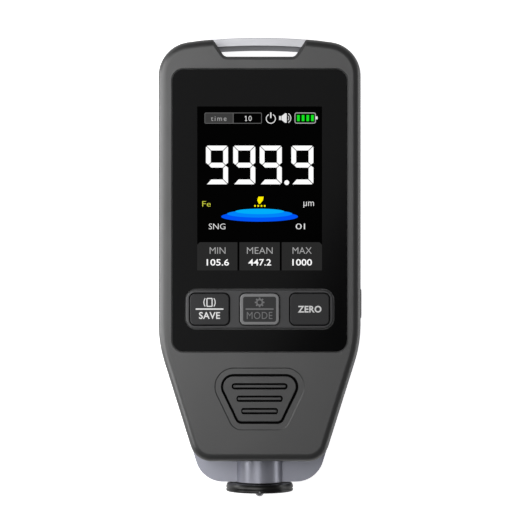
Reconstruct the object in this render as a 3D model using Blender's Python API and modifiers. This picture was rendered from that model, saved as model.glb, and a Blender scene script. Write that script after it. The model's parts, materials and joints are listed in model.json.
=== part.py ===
"""A handheld coating thickness gauge, lying on its back.

Metres, +Z up and out of the screen, +Y towards the lanyard bar, +X to the screen's right.
The origin is under the middle of the gauge, on the surface that it lies on.
"""

import math

import bmesh
import bpy

# Fits
SEAT_GAP = 0.0003  # between pieces that seat on each other
KEY_GAP = 0.0003  # round each key, in its opening
DOOR_GAP = 0.0003  # round the battery door

# Outline of the body, seen from the front
HALF_WIDTH = 0.02535
TOP_Y = 0.0578
TOP_ARC_RADIUS = 0.150
TOP_CORNER_RADIUS = 0.0085
SHOULDER_RADIUS = 0.030
SHOULDER_Y = -0.0189  # where the straight sides and the tapered ones would meet
TAPER_ANGLE = math.radians(17.4)
ARC_STEP = math.radians(17)  # a rounded corner has a point about this often
SMALL_RADIUS = 0.0025  # corners under this have half as many points

# Front housing
FRONT_Z = 0.0270
PARTING_Z = 0.0135
FRONT_BOTTOM_Y = -0.0485
FRONT_BOTTOM_RADIUS = 0.0055
FRONT_EDGE_RADIUS = 0.0021
SIDE_WALL = 0.0020
FRONT_WALL = 0.0024
NOTCH_Y = 0.0529
NOTCH_HALF_WIDTH = 0.0088
NOTCH_TOP_HALF_WIDTH = 0.0118
NOTCH_RADIUS = 0.0015
NOTCH_CHAMFER = 0.0008
LOCATING_TAB_YS = (0.0380, 0.0180, -0.0050)  # tabs that line the two housings up
LOCATING_TAB_LENGTH = 0.0060
LOCATING_TAB_THICKNESS = 0.0008
LOCATING_TAB_DROP = 0.0012  # how far they reach into the rear housing
LOCATING_TAB_RISE = 0.0020

# Rear housing
REAR_MARGIN = 0.0005  # how far it stands out round the front housing
REAR_TOP_Y = 0.0587
REAR_BOTTOM_Y = -0.0548
REAR_BOTTOM_RADIUS = 0.0072
REAR_EDGE_RADIUS = 0.0030
REAR_WALL = 0.0020
FLANGE_THICKNESS = 0.0020
BAR_DEPTH = 0.0021
BAR_FRONT_Z = 0.0150
BAR_EDGE = 0.00015

# Display
LENS_SIDE_MARGIN = 0.0035
LENS_LOW_Y = -0.0209
LENS_HIGH_Y = 0.0497
LENS_RADIUS = 0.0029
LENS_THICKNESS = 0.0010
LENS_SET_BACK = 0.0001
SCREEN_HALF_WIDTH = 0.0156
SCREEN_LOW_Y = -0.0006
SCREEN_HIGH_Y = 0.0404
WINDOW_MARGIN = 0.0010
PANEL_MARGIN_SIDE = 0.0016
PANEL_MARGIN_LOW = 0.0030
PANEL_MARGIN_HIGH = 0.0020
PANEL_THICKNESS = 0.0020
TRAY_FLOOR = 0.0019
TRAY_WALL = 0.0008
TRAY_LIP = 0.0018  # how far the tray's wall rises past its floor

# Keys
KEY_Y = -0.0103
KEY_SPACE = 0.00275
KEY_NAMES = ("save_key", "mode_key", "zero_key")
KEY_HEIGHT = 0.0078
KEY_RADIUS = 0.0013
KEY_EDGE = 0.0004
KEY_TOP_Z = 0.0279
KEY_FLANGE = 0.0007
KEY_FLANGE_THICKNESS = 0.0010
KEY_TRAVEL = 0.0004
BEZEL_SIDE_MARGIN = 0.00345
BEZEL_RIM = 0.001025
BEZEL_HEIGHT = 0.0097
BEZEL_RADIUS = 0.0026
BEZEL_TOP_Z = 0.0276
BEZEL_EDGE = 0.0004
SWITCH_SIZE = 0.0050
SWITCH_HEIGHT = 0.0019
SWITCH_RADIUS = 0.0003
PLUNGER_RADIUS = 0.0012
PLUNGER_REACH = 0.0007  # how far a plunger goes down into its switch

# Power button, in the right wall
POWER_Y = -0.0090
POWER_LENGTH = 0.0075
POWER_HEIGHT = 0.0030
POWER_PROUD = 0.0003
POWER_FLANGE = 0.0008
POWER_FLANGE_THICKNESS = 0.0007
POWER_FLANGE_RADIUS = 0.0011
POWER_TRAVEL = 0.0003
POWER_END_INSET = 0.00003  # keeps the button's round ends a hair less than half circles
POWER_SWITCH_DEPTH = 0.0026
POWER_SWITCH_LENGTH = 0.0046
POWER_PLUNGER = 0.0016

# Thumb pad
PAD_TOP_Y = -0.0268
PAD_BOTTOM_Y = -0.0387
PAD_TOP_HALF_WIDTH = 0.0111
PAD_BOTTOM_HALF_WIDTH = 0.0054
PAD_TOP_RADIUS = 0.0029
PAD_BOTTOM_RADIUS = 0.0014
PAD_GROOVE = 0.0006
PAD_THICKNESS = 0.00095
PAD_FLOOR = 0.0010  # wall that is left under the pad
DISH_MARGIN = 0.0019
DISH_DEPTH = 0.00015
DISH_SLOPE = 0.00045
RIB_COUNT = 3
RIB_FIRST_Y = -0.0296
RIB_PITCH = 0.0031
RIB_LENGTH = 0.0140
RIB_SHORTENING = 0.0024
RIB_SLOT_WIDTH = 0.0016
RIB_WIDTH = 0.0007
RIB_DEPTH = 0.0007
RIB_SLOT_RADIUS = 0.00075
RIB_RADIUS = 0.0003

# Main board
BOARD_THICKNESS = 0.0016
BOARD_MARGIN = 0.0018  # to the inside of the walls
BOARD_LOW_Y = -0.0330
BOARD_HIGH_Y = 0.0439
BOARD_RADIUS = 0.0010
BOARD_POST_RADIUS = 0.0016
BUZZER_RADIUS = 0.0060
BUZZER_HEIGHT = 0.0040
BUZZER_Y = 0.0330
BUZZER_VENT_RADIUS = 0.0012
BAY_POST_INSET = 0.0020  # of the posts on the bay, from its side walls
FLOOR_POST_INSET = 0.0066  # of the posts on the floor, from the board's sides
LOWER_POST_INSET = 0.0060
UPPER_POST_INSET = 0.0040
CHIP_HEIGHT = 0.0012
CHIPS = (  # name, x and y of the middle, half width
    ("processor", -0.0105, 0.0270, 0.0045),
    ("memory", 0.0120, 0.0260, 0.0030),
    ("converter", 0.0, -0.0265, 0.0040),
)

# Battery bay
CELL_RADIUS = 0.00525
CELL_LENGTH = 0.0445
CELL_GAP = 0.0004
CELL_NUB_RADIUS = 0.0019
CELL_NUB_LENGTH = 0.0008
CELL_EDGE = 0.0004
CONTACT_THICKNESS = 0.0004
CONTACT_SIZE = 0.0080
CELL_SPRING_LENGTH = 0.0034
CELL_SPRING_TURNS = 3
CELL_SPRING_WIDE = 0.0037  # radius of its turn on the contact
CELL_SPRING_NARROW = 0.0024
SPRING_WIRE_RADIUS = 0.0003
BAY_LOW_Y = -0.0350
BAY_WALL = 0.0018
BAY_CEILING = 0.00115

# Battery door
DOOR_THICKNESS = 0.0016
DOOR_SET_BACK = 0.0001
DOOR_SEAT = 0.0010  # how far the door laps over the bay's walls
DOOR_RADIUS = 0.0015
HINGE_Z = 0.0003
HINGE_OVERHANG = 0.00035  # of the door past its hinge axis
HINGE_SPACE = 0.0030  # from the bay's end wall to the hinge axis
TAB_WIDTH = 0.0050
TAB_X = 0.0070
TAB_REACH = 0.0018
TAB_THICKNESS = 0.0010
HOOK_INSET = 0.00025  # of a tab's hook from its neck's sides
HOOK_SET_BACK = 0.000125
TAB_ROOM = 0.0010
GRIP_WIDTH = 0.0120
GRIP_DEPTH = 0.0006
GRIP_PITCH = 0.0018
GRIP_GROOVE = 0.0008
GRIP_INSET = 0.0045
GRIP_COUNT = 3

# Probe
PROBE_Z = 0.0110
BARREL_RADIUS = 0.0059
BARREL_END_Y = -0.0395
BARREL_END_WALL = 0.0010
BARREL_BORE_RADIUS = 0.0043
COLLAR_RADIUS = 0.0086
COLLAR_THICKNESS = 0.0024
COLLAR_BEVEL_DEPTH = 0.0003  # of the bevel at its back, in the radius
COLLAR_BEVEL_LENGTH = 0.0008
COLLAR_RIM_GROOVE = 0.0002
COLLAR_FACE_BEVEL = 0.0003
COLLAR_STEP_RADIUS = 0.0056
COLLAR_STEP_DEPTH = 0.0003
SPIGOT_LENGTH = 0.0050
SPIGOT_WALL = 0.0007
V_GROOVE_DEPTH = 0.0009
TIP_RADIUS = 0.00115
TIP_TRAVEL = 0.0011
TIP_STAND_OUT = 0.0001  # of the tip from the collar's face when it is pressed in
TIP_FLANGE_RADIUS = 0.0026
TIP_FLANGE_THICKNESS = 0.0007
TIP_TAIL = 0.0055
TIP_TAIL_RADIUS = 0.0009
COIL_LENGTH = 0.0038
COIL_FLANGE = 0.00045
COIL_GROOVE = 0.00065  # how far the winding lies under the bobbin's flanges
GUIDE_LENGTH = 0.0030
PROBE_SPRING_TURNS = 4

# Screws
UPPER_SCREW_SIDE = 0.00605  # from the front housing's side wall
UPPER_SCREW_DROP = 0.0103  # from its top
LOWER_SCREW_SIDE = 0.0061
LOWER_SCREW_RISE = 0.0065
SCREW_HEAD_RADIUS = 0.0025
SCREW_HEAD_HEIGHT = 0.0017
SCREW_HEAD_BEVEL = 0.0005
SCREW_RADIUS = 0.0011
SCREW_LENGTH = 0.0180
SCREW_RECESS = 0.0030  # depth of the counterbore in the back
BOSS_RADIUS = 0.0026
POST_RADIUS = 0.0033
THREAD_DEPTH = 0.0015  # material left over a screw's hole

# Worked out from the sizes above
OVERLAP = 0.0005  # how far a joined shape reaches into its neighbour
CLEAR = 0.0010  # how far a cutter reaches past what it cuts
LENS_HALF_WIDTH = HALF_WIDTH - LENS_SIDE_MARGIN
BEZEL_WIDTH = 2 * (LENS_HALF_WIDTH - BEZEL_SIDE_MARGIN)
KEY_WIDTH = (BEZEL_WIDTH - 2 * BEZEL_RIM - 2 * KEY_SPACE) / 3
KEY_PITCH = KEY_WIDTH + KEY_SPACE
POCKET_Z = FRONT_Z - LENS_SET_BACK - LENS_THICKNESS - SEAT_GAP
FRONT_INNER_Z = FRONT_Z - FRONT_WALL
REAR_FRONT_Z = PARTING_Z - SEAT_GAP
NOTCH_SLOPE = (NOTCH_TOP_HALF_WIDTH - NOTCH_HALF_WIDTH) / (
    TOP_Y - NOTCH_TOP_HALF_WIDTH**2 / (2 * TOP_ARC_RADIUS) - NOTCH_Y
)
PANEL_TOP_Z = FRONT_INNER_Z - SEAT_GAP
TRAY_FLOOR_Z = PANEL_TOP_Z - PANEL_THICKNESS - SEAT_GAP
BOARD_TOP_Z = TRAY_FLOOR_Z - TRAY_FLOOR - SEAT_GAP
BOARD_LOW_Z = BOARD_TOP_Z - BOARD_THICKNESS
SWITCH_LOW_Z = BOARD_TOP_Z + SEAT_GAP
SWITCH_TOP_Z = SWITCH_LOW_Z + SWITCH_HEIGHT
KEY_LOW_Z = FRONT_INNER_Z - SEAT_GAP - KEY_FLANGE_THICKNESS
POWER_Z = SWITCH_LOW_Z + POWER_HEIGHT / 2
POWER_FLANGE_X = HALF_WIDTH - SIDE_WALL - SEAT_GAP
CELL_X = CELL_RADIUS + CELL_GAP / 2
CELL_Z = DOOR_SET_BACK + DOOR_THICKNESS + SEAT_GAP + CELL_RADIUS
CEILING_Z = CELL_Z + CELL_RADIUS + SEAT_GAP
CEILING_TOP_Z = CEILING_Z + BAY_CEILING
BAY_HALF_WIDTH = CELL_X + CELL_RADIUS + SEAT_GAP
CELL_LOW_Y = BAY_LOW_Y + CONTACT_THICKNESS + 2 * SEAT_GAP
CELL_HIGH_Y = CELL_LOW_Y + CELL_LENGTH + CELL_SPRING_LENGTH + SEAT_GAP
BAY_HIGH_Y = CELL_HIGH_Y + CONTACT_THICKNESS + 2 * SEAT_GAP
HINGE_Y = BAY_HIGH_Y + BAY_WALL + HINGE_SPACE
DOOR_HALF_WIDTH = BAY_HALF_WIDTH + DOOR_SEAT
DOOR_LOW_Y = BAY_LOW_Y - DOOR_SEAT
COLLAR_Y = REAR_BOTTOM_Y - SEAT_GAP
COLLAR_FACE_Y = COLLAR_Y - COLLAR_THICKNESS
PROBE_BORE_RADIUS = TIP_RADIUS + SEAT_GAP
GUIDE_Y = COLLAR_Y + SPIGOT_LENGTH + SEAT_GAP
TIP_FLANGE_Y = GUIDE_Y + GUIDE_LENGTH + SEAT_GAP
PROBE_SPRING_Y = TIP_FLANGE_Y + TIP_FLANGE_THICKNESS + SEAT_GAP
BARREL_INNER_Y = BARREL_END_Y - BARREL_END_WALL


def collection(name):
    """A new collection in the scene."""
    made = bpy.data.collections.new(name)
    bpy.context.scene.collection.children.link(made)
    return made


for old in list(bpy.context.scene.objects):
    bpy.data.objects.remove(old, do_unlink=True)
PARTS = collection("coating_thickness_gauge")
CUTTERS = collection("cutters_and_added_shapes")


def material(name, colour, roughness, metallic=0.0):
    """A Principled material with the piece's plain colour."""
    made = bpy.data.materials.new(name)
    made.use_nodes = True
    shader = made.node_tree.nodes["Principled BSDF"]
    shader.inputs["Base Color"].default_value = (*colour, 1.0)
    shader.inputs["Roughness"].default_value = roughness
    shader.inputs["Metallic"].default_value = metallic
    return made


GRAPHITE = material("graphite_plastic", (0.075, 0.075, 0.077), 0.45)
BLUE_GREY = material("blue_grey_plastic", (0.26, 0.26, 0.31), 0.35, 0.3)
LENS_BLACK = material("lens_black", (0.011, 0.011, 0.011), 0.12)
BEZEL_GREY = material("bezel_grey", (0.075, 0.075, 0.078), 0.5)
KEY_GREY = material("key_grey", (0.042, 0.042, 0.044), 0.55)
PAD_GREY = material("pad_rubber", (0.09, 0.09, 0.092), 0.7)
PROBE_BLACK = material("probe_black", (0.012, 0.012, 0.012), 0.3)
STEEL = material("steel", (0.55, 0.55, 0.56), 0.3, 1.0)
COPPER = material("copper_wire", (0.55, 0.24, 0.11), 0.4, 1.0)
BOARD_GREEN = material("board_green", (0.02, 0.13, 0.05), 0.4)
WHITE_PLASTIC = material("white_plastic", (0.7, 0.7, 0.68), 0.5)
PANEL_GLASS = material("panel_glass", (0.01, 0.01, 0.012), 0.1)
SWITCH_BLACK = material("switch_black", (0.02, 0.02, 0.02), 0.5)
CELL_WRAP = material("cell_wrap", (0.06, 0.08, 0.12), 0.35, 0.2)


def place(name, data, finish, at=(0, 0, 0), turn=(0, 0, 0)):
    """Link an object; one without a finish is a cutter or a shape to be joined."""
    item = bpy.data.objects.new(name, data)
    item.location = at
    item.rotation_euler = turn
    if finish is None:
        CUTTERS.objects.link(item)
        item.hide_render = True
        item.display_type = "WIRE"
    else:
        PARTS.objects.link(item)
        data.materials.append(finish)
    return item


def rounded(corners):
    """Outline points through corners (x, y, radius), each rounded by an arc."""
    points = []
    for index, (x, y, radius) in enumerate(corners):
        before = corners[index - 1]
        after = corners[(index + 1) % len(corners)]
        inward = math.atan2(before[1] - y, before[0] - x)
        outward = math.atan2(after[1] - y, after[0] - x)
        opening = (outward - inward) % math.tau
        convex = opening > math.pi
        inner_angle = math.tau - opening if convex else opening
        turn = math.pi - inner_angle
        if radius <= 0 or turn < math.radians(1):
            points.append((x, y))
            continue
        middle = outward + inner_angle / 2 if convex else inward + inner_angle / 2
        reach = radius / math.sin(inner_angle / 2)
        centre_x = x + reach * math.cos(middle)
        centre_y = y + reach * math.sin(middle)
        steps = max(2, math.ceil(turn / (ARC_STEP if radius > SMALL_RADIUS else 2 * ARC_STEP)))
        for step in range(steps + 1):
            swing = turn * (step / steps - 0.5)
            angle = middle + math.pi + (swing if convex else -swing)
            points.append((centre_x + radius * math.cos(angle), centre_y + radius * math.sin(angle)))
    return points


def mirrored(half):
    """Corners of the whole outline from those of its right half, bottom to top."""
    return half + [(-x, y, radius) for x, y, radius in reversed(half)]


def rectangle(half_width, low, high, radius):
    """Corners of a rectangle that is centred on x = 0."""
    return mirrored([(half_width, low, radius), (half_width, high, radius)])


def mesh_from_curve(name, curve):
    """The curve's solid as a mesh, with its caps welded on and flat faces joined."""
    guide = bpy.data.objects.new(name, curve)
    bpy.context.scene.collection.objects.link(guide)
    graph = bpy.context.evaluated_depsgraph_get()
    mesh = bpy.data.meshes.new_from_object(guide.evaluated_get(graph))
    bpy.data.objects.remove(guide, do_unlink=True)
    shape = bmesh.new()
    shape.from_mesh(mesh)
    bmesh.ops.remove_doubles(shape, verts=shape.verts, dist=1e-6)
    bmesh.ops.dissolve_limit(shape, angle_limit=math.radians(0.1), verts=shape.verts, edges=shape.edges)
    bmesh.ops.recalc_face_normals(shape, faces=shape.faces)
    shape.to_mesh(mesh)
    shape.free()
    mesh.name = name
    return mesh


def prism(name, corners, low, high, finish=None, at=(0, 0, 0), turn=(0, 0, 0)):
    """A flat outline in X and Y, extruded from low to high along its own Z."""
    points = rounded(corners)
    curve = bpy.data.curves.new(name, "CURVE")
    curve.dimensions = "2D"
    curve.fill_mode = "BOTH"
    curve.extrude = (high - low) / 2
    spline = curve.splines.new("POLY")
    spline.points.add(len(points) - 1)
    for point, (x, y) in zip(spline.points, points):
        point.co = (x, y, 0, 1)
    spline.use_cyclic_u = True
    mesh = mesh_from_curve(name, curve)
    for vertex in mesh.vertices:
        vertex.co.z += (low + high) / 2
    return place(name, mesh, finish, at, turn)


def box(name, low, high, finish=None, at=(0, 0, 0)):
    """A box between two corners."""
    shape = bmesh.new()
    bmesh.ops.create_cube(shape, size=1)
    for vertex in shape.verts:
        vertex.co = [(a + b) / 2 + (b - a) * c for a, b, c in zip(low, high, vertex.co)]
    mesh = bpy.data.meshes.new(name)
    shape.to_mesh(mesh)
    shape.free()
    return place(name, mesh, finish, at)


def rod(name, radius, low, high, finish=None, at=(0, 0, 0), turn=(0, 0, 0), sides=16):
    """A cylinder from low to high along its own Z."""
    shape = bmesh.new()
    bmesh.ops.create_cone(
        shape, cap_ends=True, segments=sides, radius1=radius, radius2=radius, depth=high - low
    )
    bmesh.ops.translate(shape, verts=shape.verts, vec=(0, 0, (low + high) / 2))
    mesh = bpy.data.meshes.new(name)
    shape.to_mesh(mesh)
    shape.free()
    return place(name, mesh, finish, at, turn)


def turned(name, profile, finish, at, turn=(0, 0, 0), sides=24, ring=False):
    """A turned piece from (radius, height) points that run down its outer side."""
    mesh = bpy.data.meshes.new(name)
    edges = [(n, n + 1) for n in range(len(profile) - 1)]
    if ring:
        edges.append((len(profile) - 1, 0))
    mesh.from_pydata([(radius, 0, height) for radius, height in profile], edges, [])
    item = place(name, mesh, finish, at, turn)
    screw = item.modifiers.new("turn", "SCREW")
    screw.steps = sides
    screw.render_steps = sides
    screw.use_merge_vertices = True
    screw.merge_threshold = 1e-6
    return item


def coil(name, wire_radius, start_radius, end_radius, low, high, turns, finish, at, turn):
    """A spring along its own Z, with its wire's middle from low to high."""
    per_turn = 8
    count = turns * per_turn
    curve = bpy.data.curves.new(name, "CURVE")
    curve.dimensions = "3D"
    curve.bevel_depth = wire_radius
    curve.bevel_resolution = 1
    curve.use_fill_caps = True
    spline = curve.splines.new("POLY")
    spline.points.add(count)
    for number, point in enumerate(spline.points):
        share = number / count
        radius = start_radius + (end_radius - start_radius) * share
        angle = math.tau * number / per_turn
        height = low + (high - low) * share
        point.co = (radius * math.cos(angle), radius * math.sin(angle), height, 1)
    return place(name, curve, finish, at, turn)


def cut(item, *cutters):
    """Take the cutters away from an object."""
    for cutter in cutters:
        step = item.modifiers.new(cutter.name, "BOOLEAN")
        step.operation = "DIFFERENCE"
        step.object = cutter


def join(item, *additions):
    """Add shapes to an object."""
    for addition in additions:
        step = item.modifiers.new(addition.name, "BOOLEAN")
        step.operation = "UNION"
        step.object = addition


def round_rim(item, width, height, segments=2, weight=lambda middle: 1.0):
    """Round the rim at one height of a prism, by a weight that depends on the place."""
    mesh = item.data
    values = mesh.attributes.new("bevel_weight_edge", "FLOAT", "EDGE").data
    for edge in mesh.edges:
        ends = [mesh.vertices[index].co for index in edge.vertices]
        if all(abs(end.z - height) < 1e-6 for end in ends):
            values[edge.index].value = weight((ends[0] + ends[1]) / 2)
    bevel = item.modifiers.new("rim", "BEVEL")
    bevel.width = width
    bevel.segments = segments
    bevel.limit_method = "WEIGHT"
    bevel.use_clamp_overlap = False


ALONG_Y = (-math.pi / 2, 0, 0)  # turns a piece's own Z to +Y
ALONG_X = (0, math.pi / 2, 0)  # turns a piece's own Z to +X


def top_line(x, top_y):
    """Height of the arched top edge at x."""
    return top_y - x * x / (2 * TOP_ARC_RADIUS)


def taper_x(y, grow=0.0):
    """Half width of the tapered lower sides at y, with the outline grown."""
    return HALF_WIDTH - (SHOULDER_Y - y) * math.tan(TAPER_ANGLE) + grow / math.cos(TAPER_ANGLE)


def bend_y(grow):
    """Where the grown straight side meets the grown taper."""
    return SHOULDER_Y + (HALF_WIDTH + grow - taper_x(SHOULDER_Y, grow)) / math.tan(TAPER_ANGLE)


def sides(grow, top_y, bottom_y, bottom_radius):
    """Corners of the body's right side, from the bottom to the top corner."""
    half_width = HALF_WIDTH + grow
    return [
        (taper_x(bottom_y, grow), bottom_y, bottom_radius),
        (half_width, bend_y(grow), SHOULDER_RADIUS + grow),
        (half_width, top_line(half_width, top_y), TOP_CORNER_RADIUS + grow),
    ]


def notch(top_y, wall):
    """Corners of the lanyard notch's right side, a wall's thickness outside it."""
    aside = wall * math.hypot(1, NOTCH_SLOPE)
    bottom_y = NOTCH_Y - wall
    bottom_x = NOTCH_HALF_WIDTH - NOTCH_SLOPE * wall + aside
    top_x = NOTCH_TOP_HALF_WIDTH + aside - NOTCH_SLOPE * wall
    return [
        (top_x, top_line(top_x, top_y), NOTCH_RADIUS / 4),
        (bottom_x, bottom_y, NOTCH_RADIUS + wall),
    ]


def cavity_corners(grow, bottom_y, bottom_radius, top_y, wall):
    """Inside of a housing: its walls go round the lanyard notch too."""
    half = sides(grow, top_y - wall, bottom_y, bottom_radius)
    return mirrored(half + notch(top_y - wall, wall))


def screw_places():
    """The four screws, as (x, y)."""
    low_y = FRONT_BOTTOM_Y + LOWER_SCREW_RISE
    upper = (HALF_WIDTH - UPPER_SCREW_SIDE, TOP_Y - UPPER_SCREW_DROP)
    lower = (taper_x(low_y) - LOWER_SCREW_SIDE, low_y)
    return [(side * x, y) for x, y in (upper, lower) for side in (1, -1)]


def key_places():
    """Each key's name and the middle of its cap."""
    return [(name, (number - 1) * KEY_PITCH) for number, name in enumerate(KEY_NAMES)]


def key_corners(grow=0.0):
    """Outline of a key's cap round its own middle, grown by a clearance."""
    height = KEY_HEIGHT / 2 + grow
    return rectangle(KEY_WIDTH / 2 + grow, -height, height, KEY_RADIUS + grow)


def pad_corners(grow):
    """Outline of the thumb pad, grown past the middle of its groove."""
    slope = (PAD_TOP_HALF_WIDTH - PAD_BOTTOM_HALF_WIDTH) / (PAD_TOP_Y - PAD_BOTTOM_Y)
    aside = grow * math.hypot(1, slope)
    return mirrored(
        [
            (PAD_BOTTOM_HALF_WIDTH - slope * grow + aside, PAD_BOTTOM_Y - grow, PAD_BOTTOM_RADIUS + grow),
            (PAD_TOP_HALF_WIDTH + slope * grow + aside, PAD_TOP_Y + grow, PAD_TOP_RADIUS + grow),
        ]
    )


def front_housing():
    """The front moulding: a shell that is open at the back, with a notch at its top."""
    outer = sides(0, TOP_Y, FRONT_BOTTOM_Y, FRONT_BOTTOM_RADIUS)
    shoulder_x = (HALF_WIDTH - TOP_CORNER_RADIUS + NOTCH_TOP_HALF_WIDTH) / 2
    outer.append((shoulder_x, top_line(shoulder_x, TOP_Y), 0))
    shell = prism("front_housing", mirrored(outer + notch(TOP_Y, 0)), PARTING_Z, FRONT_Z, GRAPHITE)

    def notch_or_rim(middle):
        in_notch = abs(middle.x) < NOTCH_TOP_HALF_WIDTH and middle.y > NOTCH_Y - CLEAR
        return NOTCH_CHAMFER / FRONT_EDGE_RADIUS if in_notch else 1.0

    round_rim(shell, FRONT_EDGE_RADIUS, FRONT_Z, 3, notch_or_rim)
    inside = cavity_corners(
        -SIDE_WALL, FRONT_BOTTOM_Y + SIDE_WALL, FRONT_BOTTOM_RADIUS - SIDE_WALL, TOP_Y, SIDE_WALL
    )
    cut(shell, prism("front_cavity", inside, PARTING_Z - CLEAR, FRONT_INNER_Z))
    tab_high_x = HALF_WIDTH + REAR_MARGIN - REAR_WALL - SEAT_GAP
    for number, y in enumerate(LOCATING_TAB_YS, 1):
        for name, side in (("right", 1), ("left", -1)):
            across = sorted((side * tab_high_x, side * (tab_high_x - LOCATING_TAB_THICKNESS)))
            tab = box(
                f"locating_tab_{name}_{number}",
                (across[0], y - LOCATING_TAB_LENGTH / 2, PARTING_Z - LOCATING_TAB_DROP),
                (across[1], y + LOCATING_TAB_LENGTH / 2, PARTING_Z + LOCATING_TAB_RISE),
            )
            join(shell, tab)
    for number, (x, y) in enumerate(screw_places(), 1):
        join(shell, rod(f"boss_{number}", BOSS_RADIUS, PARTING_Z, FRONT_INNER_Z + OVERLAP, at=(x, y, 0)))
        hole = rod(
            f"thread_{number}",
            SCREW_RADIUS + SEAT_GAP,
            PARTING_Z - CLEAR,
            FRONT_INNER_Z - THREAD_DEPTH,
            at=(x, y, 0),
            sides=12,
        )
        cut(shell, hole)
    arch = rod(
        "barrel_arch", BARREL_RADIUS + SEAT_GAP, FRONT_BOTTOM_Y - CLEAR, BARREL_END_Y,
        at=(0, 0, PROBE_Z), turn=ALONG_Y, sides=32,
    )
    cut(shell, arch)
    pocket = rectangle(
        LENS_HALF_WIDTH + SEAT_GAP, LENS_LOW_Y - SEAT_GAP, LENS_HIGH_Y + SEAT_GAP, LENS_RADIUS + SEAT_GAP
    )
    cut(shell, prism("lens_pocket", pocket, POCKET_Z, FRONT_Z + CLEAR))
    window = rectangle(
        SCREEN_HALF_WIDTH + WINDOW_MARGIN, SCREEN_LOW_Y - WINDOW_MARGIN, SCREEN_HIGH_Y + WINDOW_MARGIN, 0
    )
    cut(shell, prism("screen_window", window, FRONT_INNER_Z - CLEAR, POCKET_Z + CLEAR))
    for name, x in key_places():
        hole = prism(
            f"{name}_hole", key_corners(KEY_GAP), FRONT_INNER_Z - CLEAR, POCKET_Z + CLEAR, at=(x, KEY_Y, 0)
        )
        cut(shell, hole)
    dish = prism("pad_dish", pad_corners(DISH_MARGIN), FRONT_Z - DISH_DEPTH, FRONT_Z + CLEAR)
    round_rim(dish, DISH_SLOPE, FRONT_Z - DISH_DEPTH, 1)
    pad_pocket = prism(
        "pad_pocket", pad_corners(PAD_GROOVE / 2), FRONT_INNER_Z + PAD_FLOOR, FRONT_Z + CLEAR
    )
    half_height = POWER_HEIGHT / 2 + KEY_GAP
    half_length = POWER_LENGTH / 2 + KEY_GAP
    power_hole = prism(
        "power_hole",
        rectangle(half_height, -half_length, half_length, half_height - POWER_END_INSET),
        HALF_WIDTH - SIDE_WALL - CLEAR,
        HALF_WIDTH + CLEAR,
        at=(0, POWER_Y, POWER_Z),
        turn=ALONG_X,
    )
    cut(shell, dish, pad_pocket, power_hole)


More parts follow.
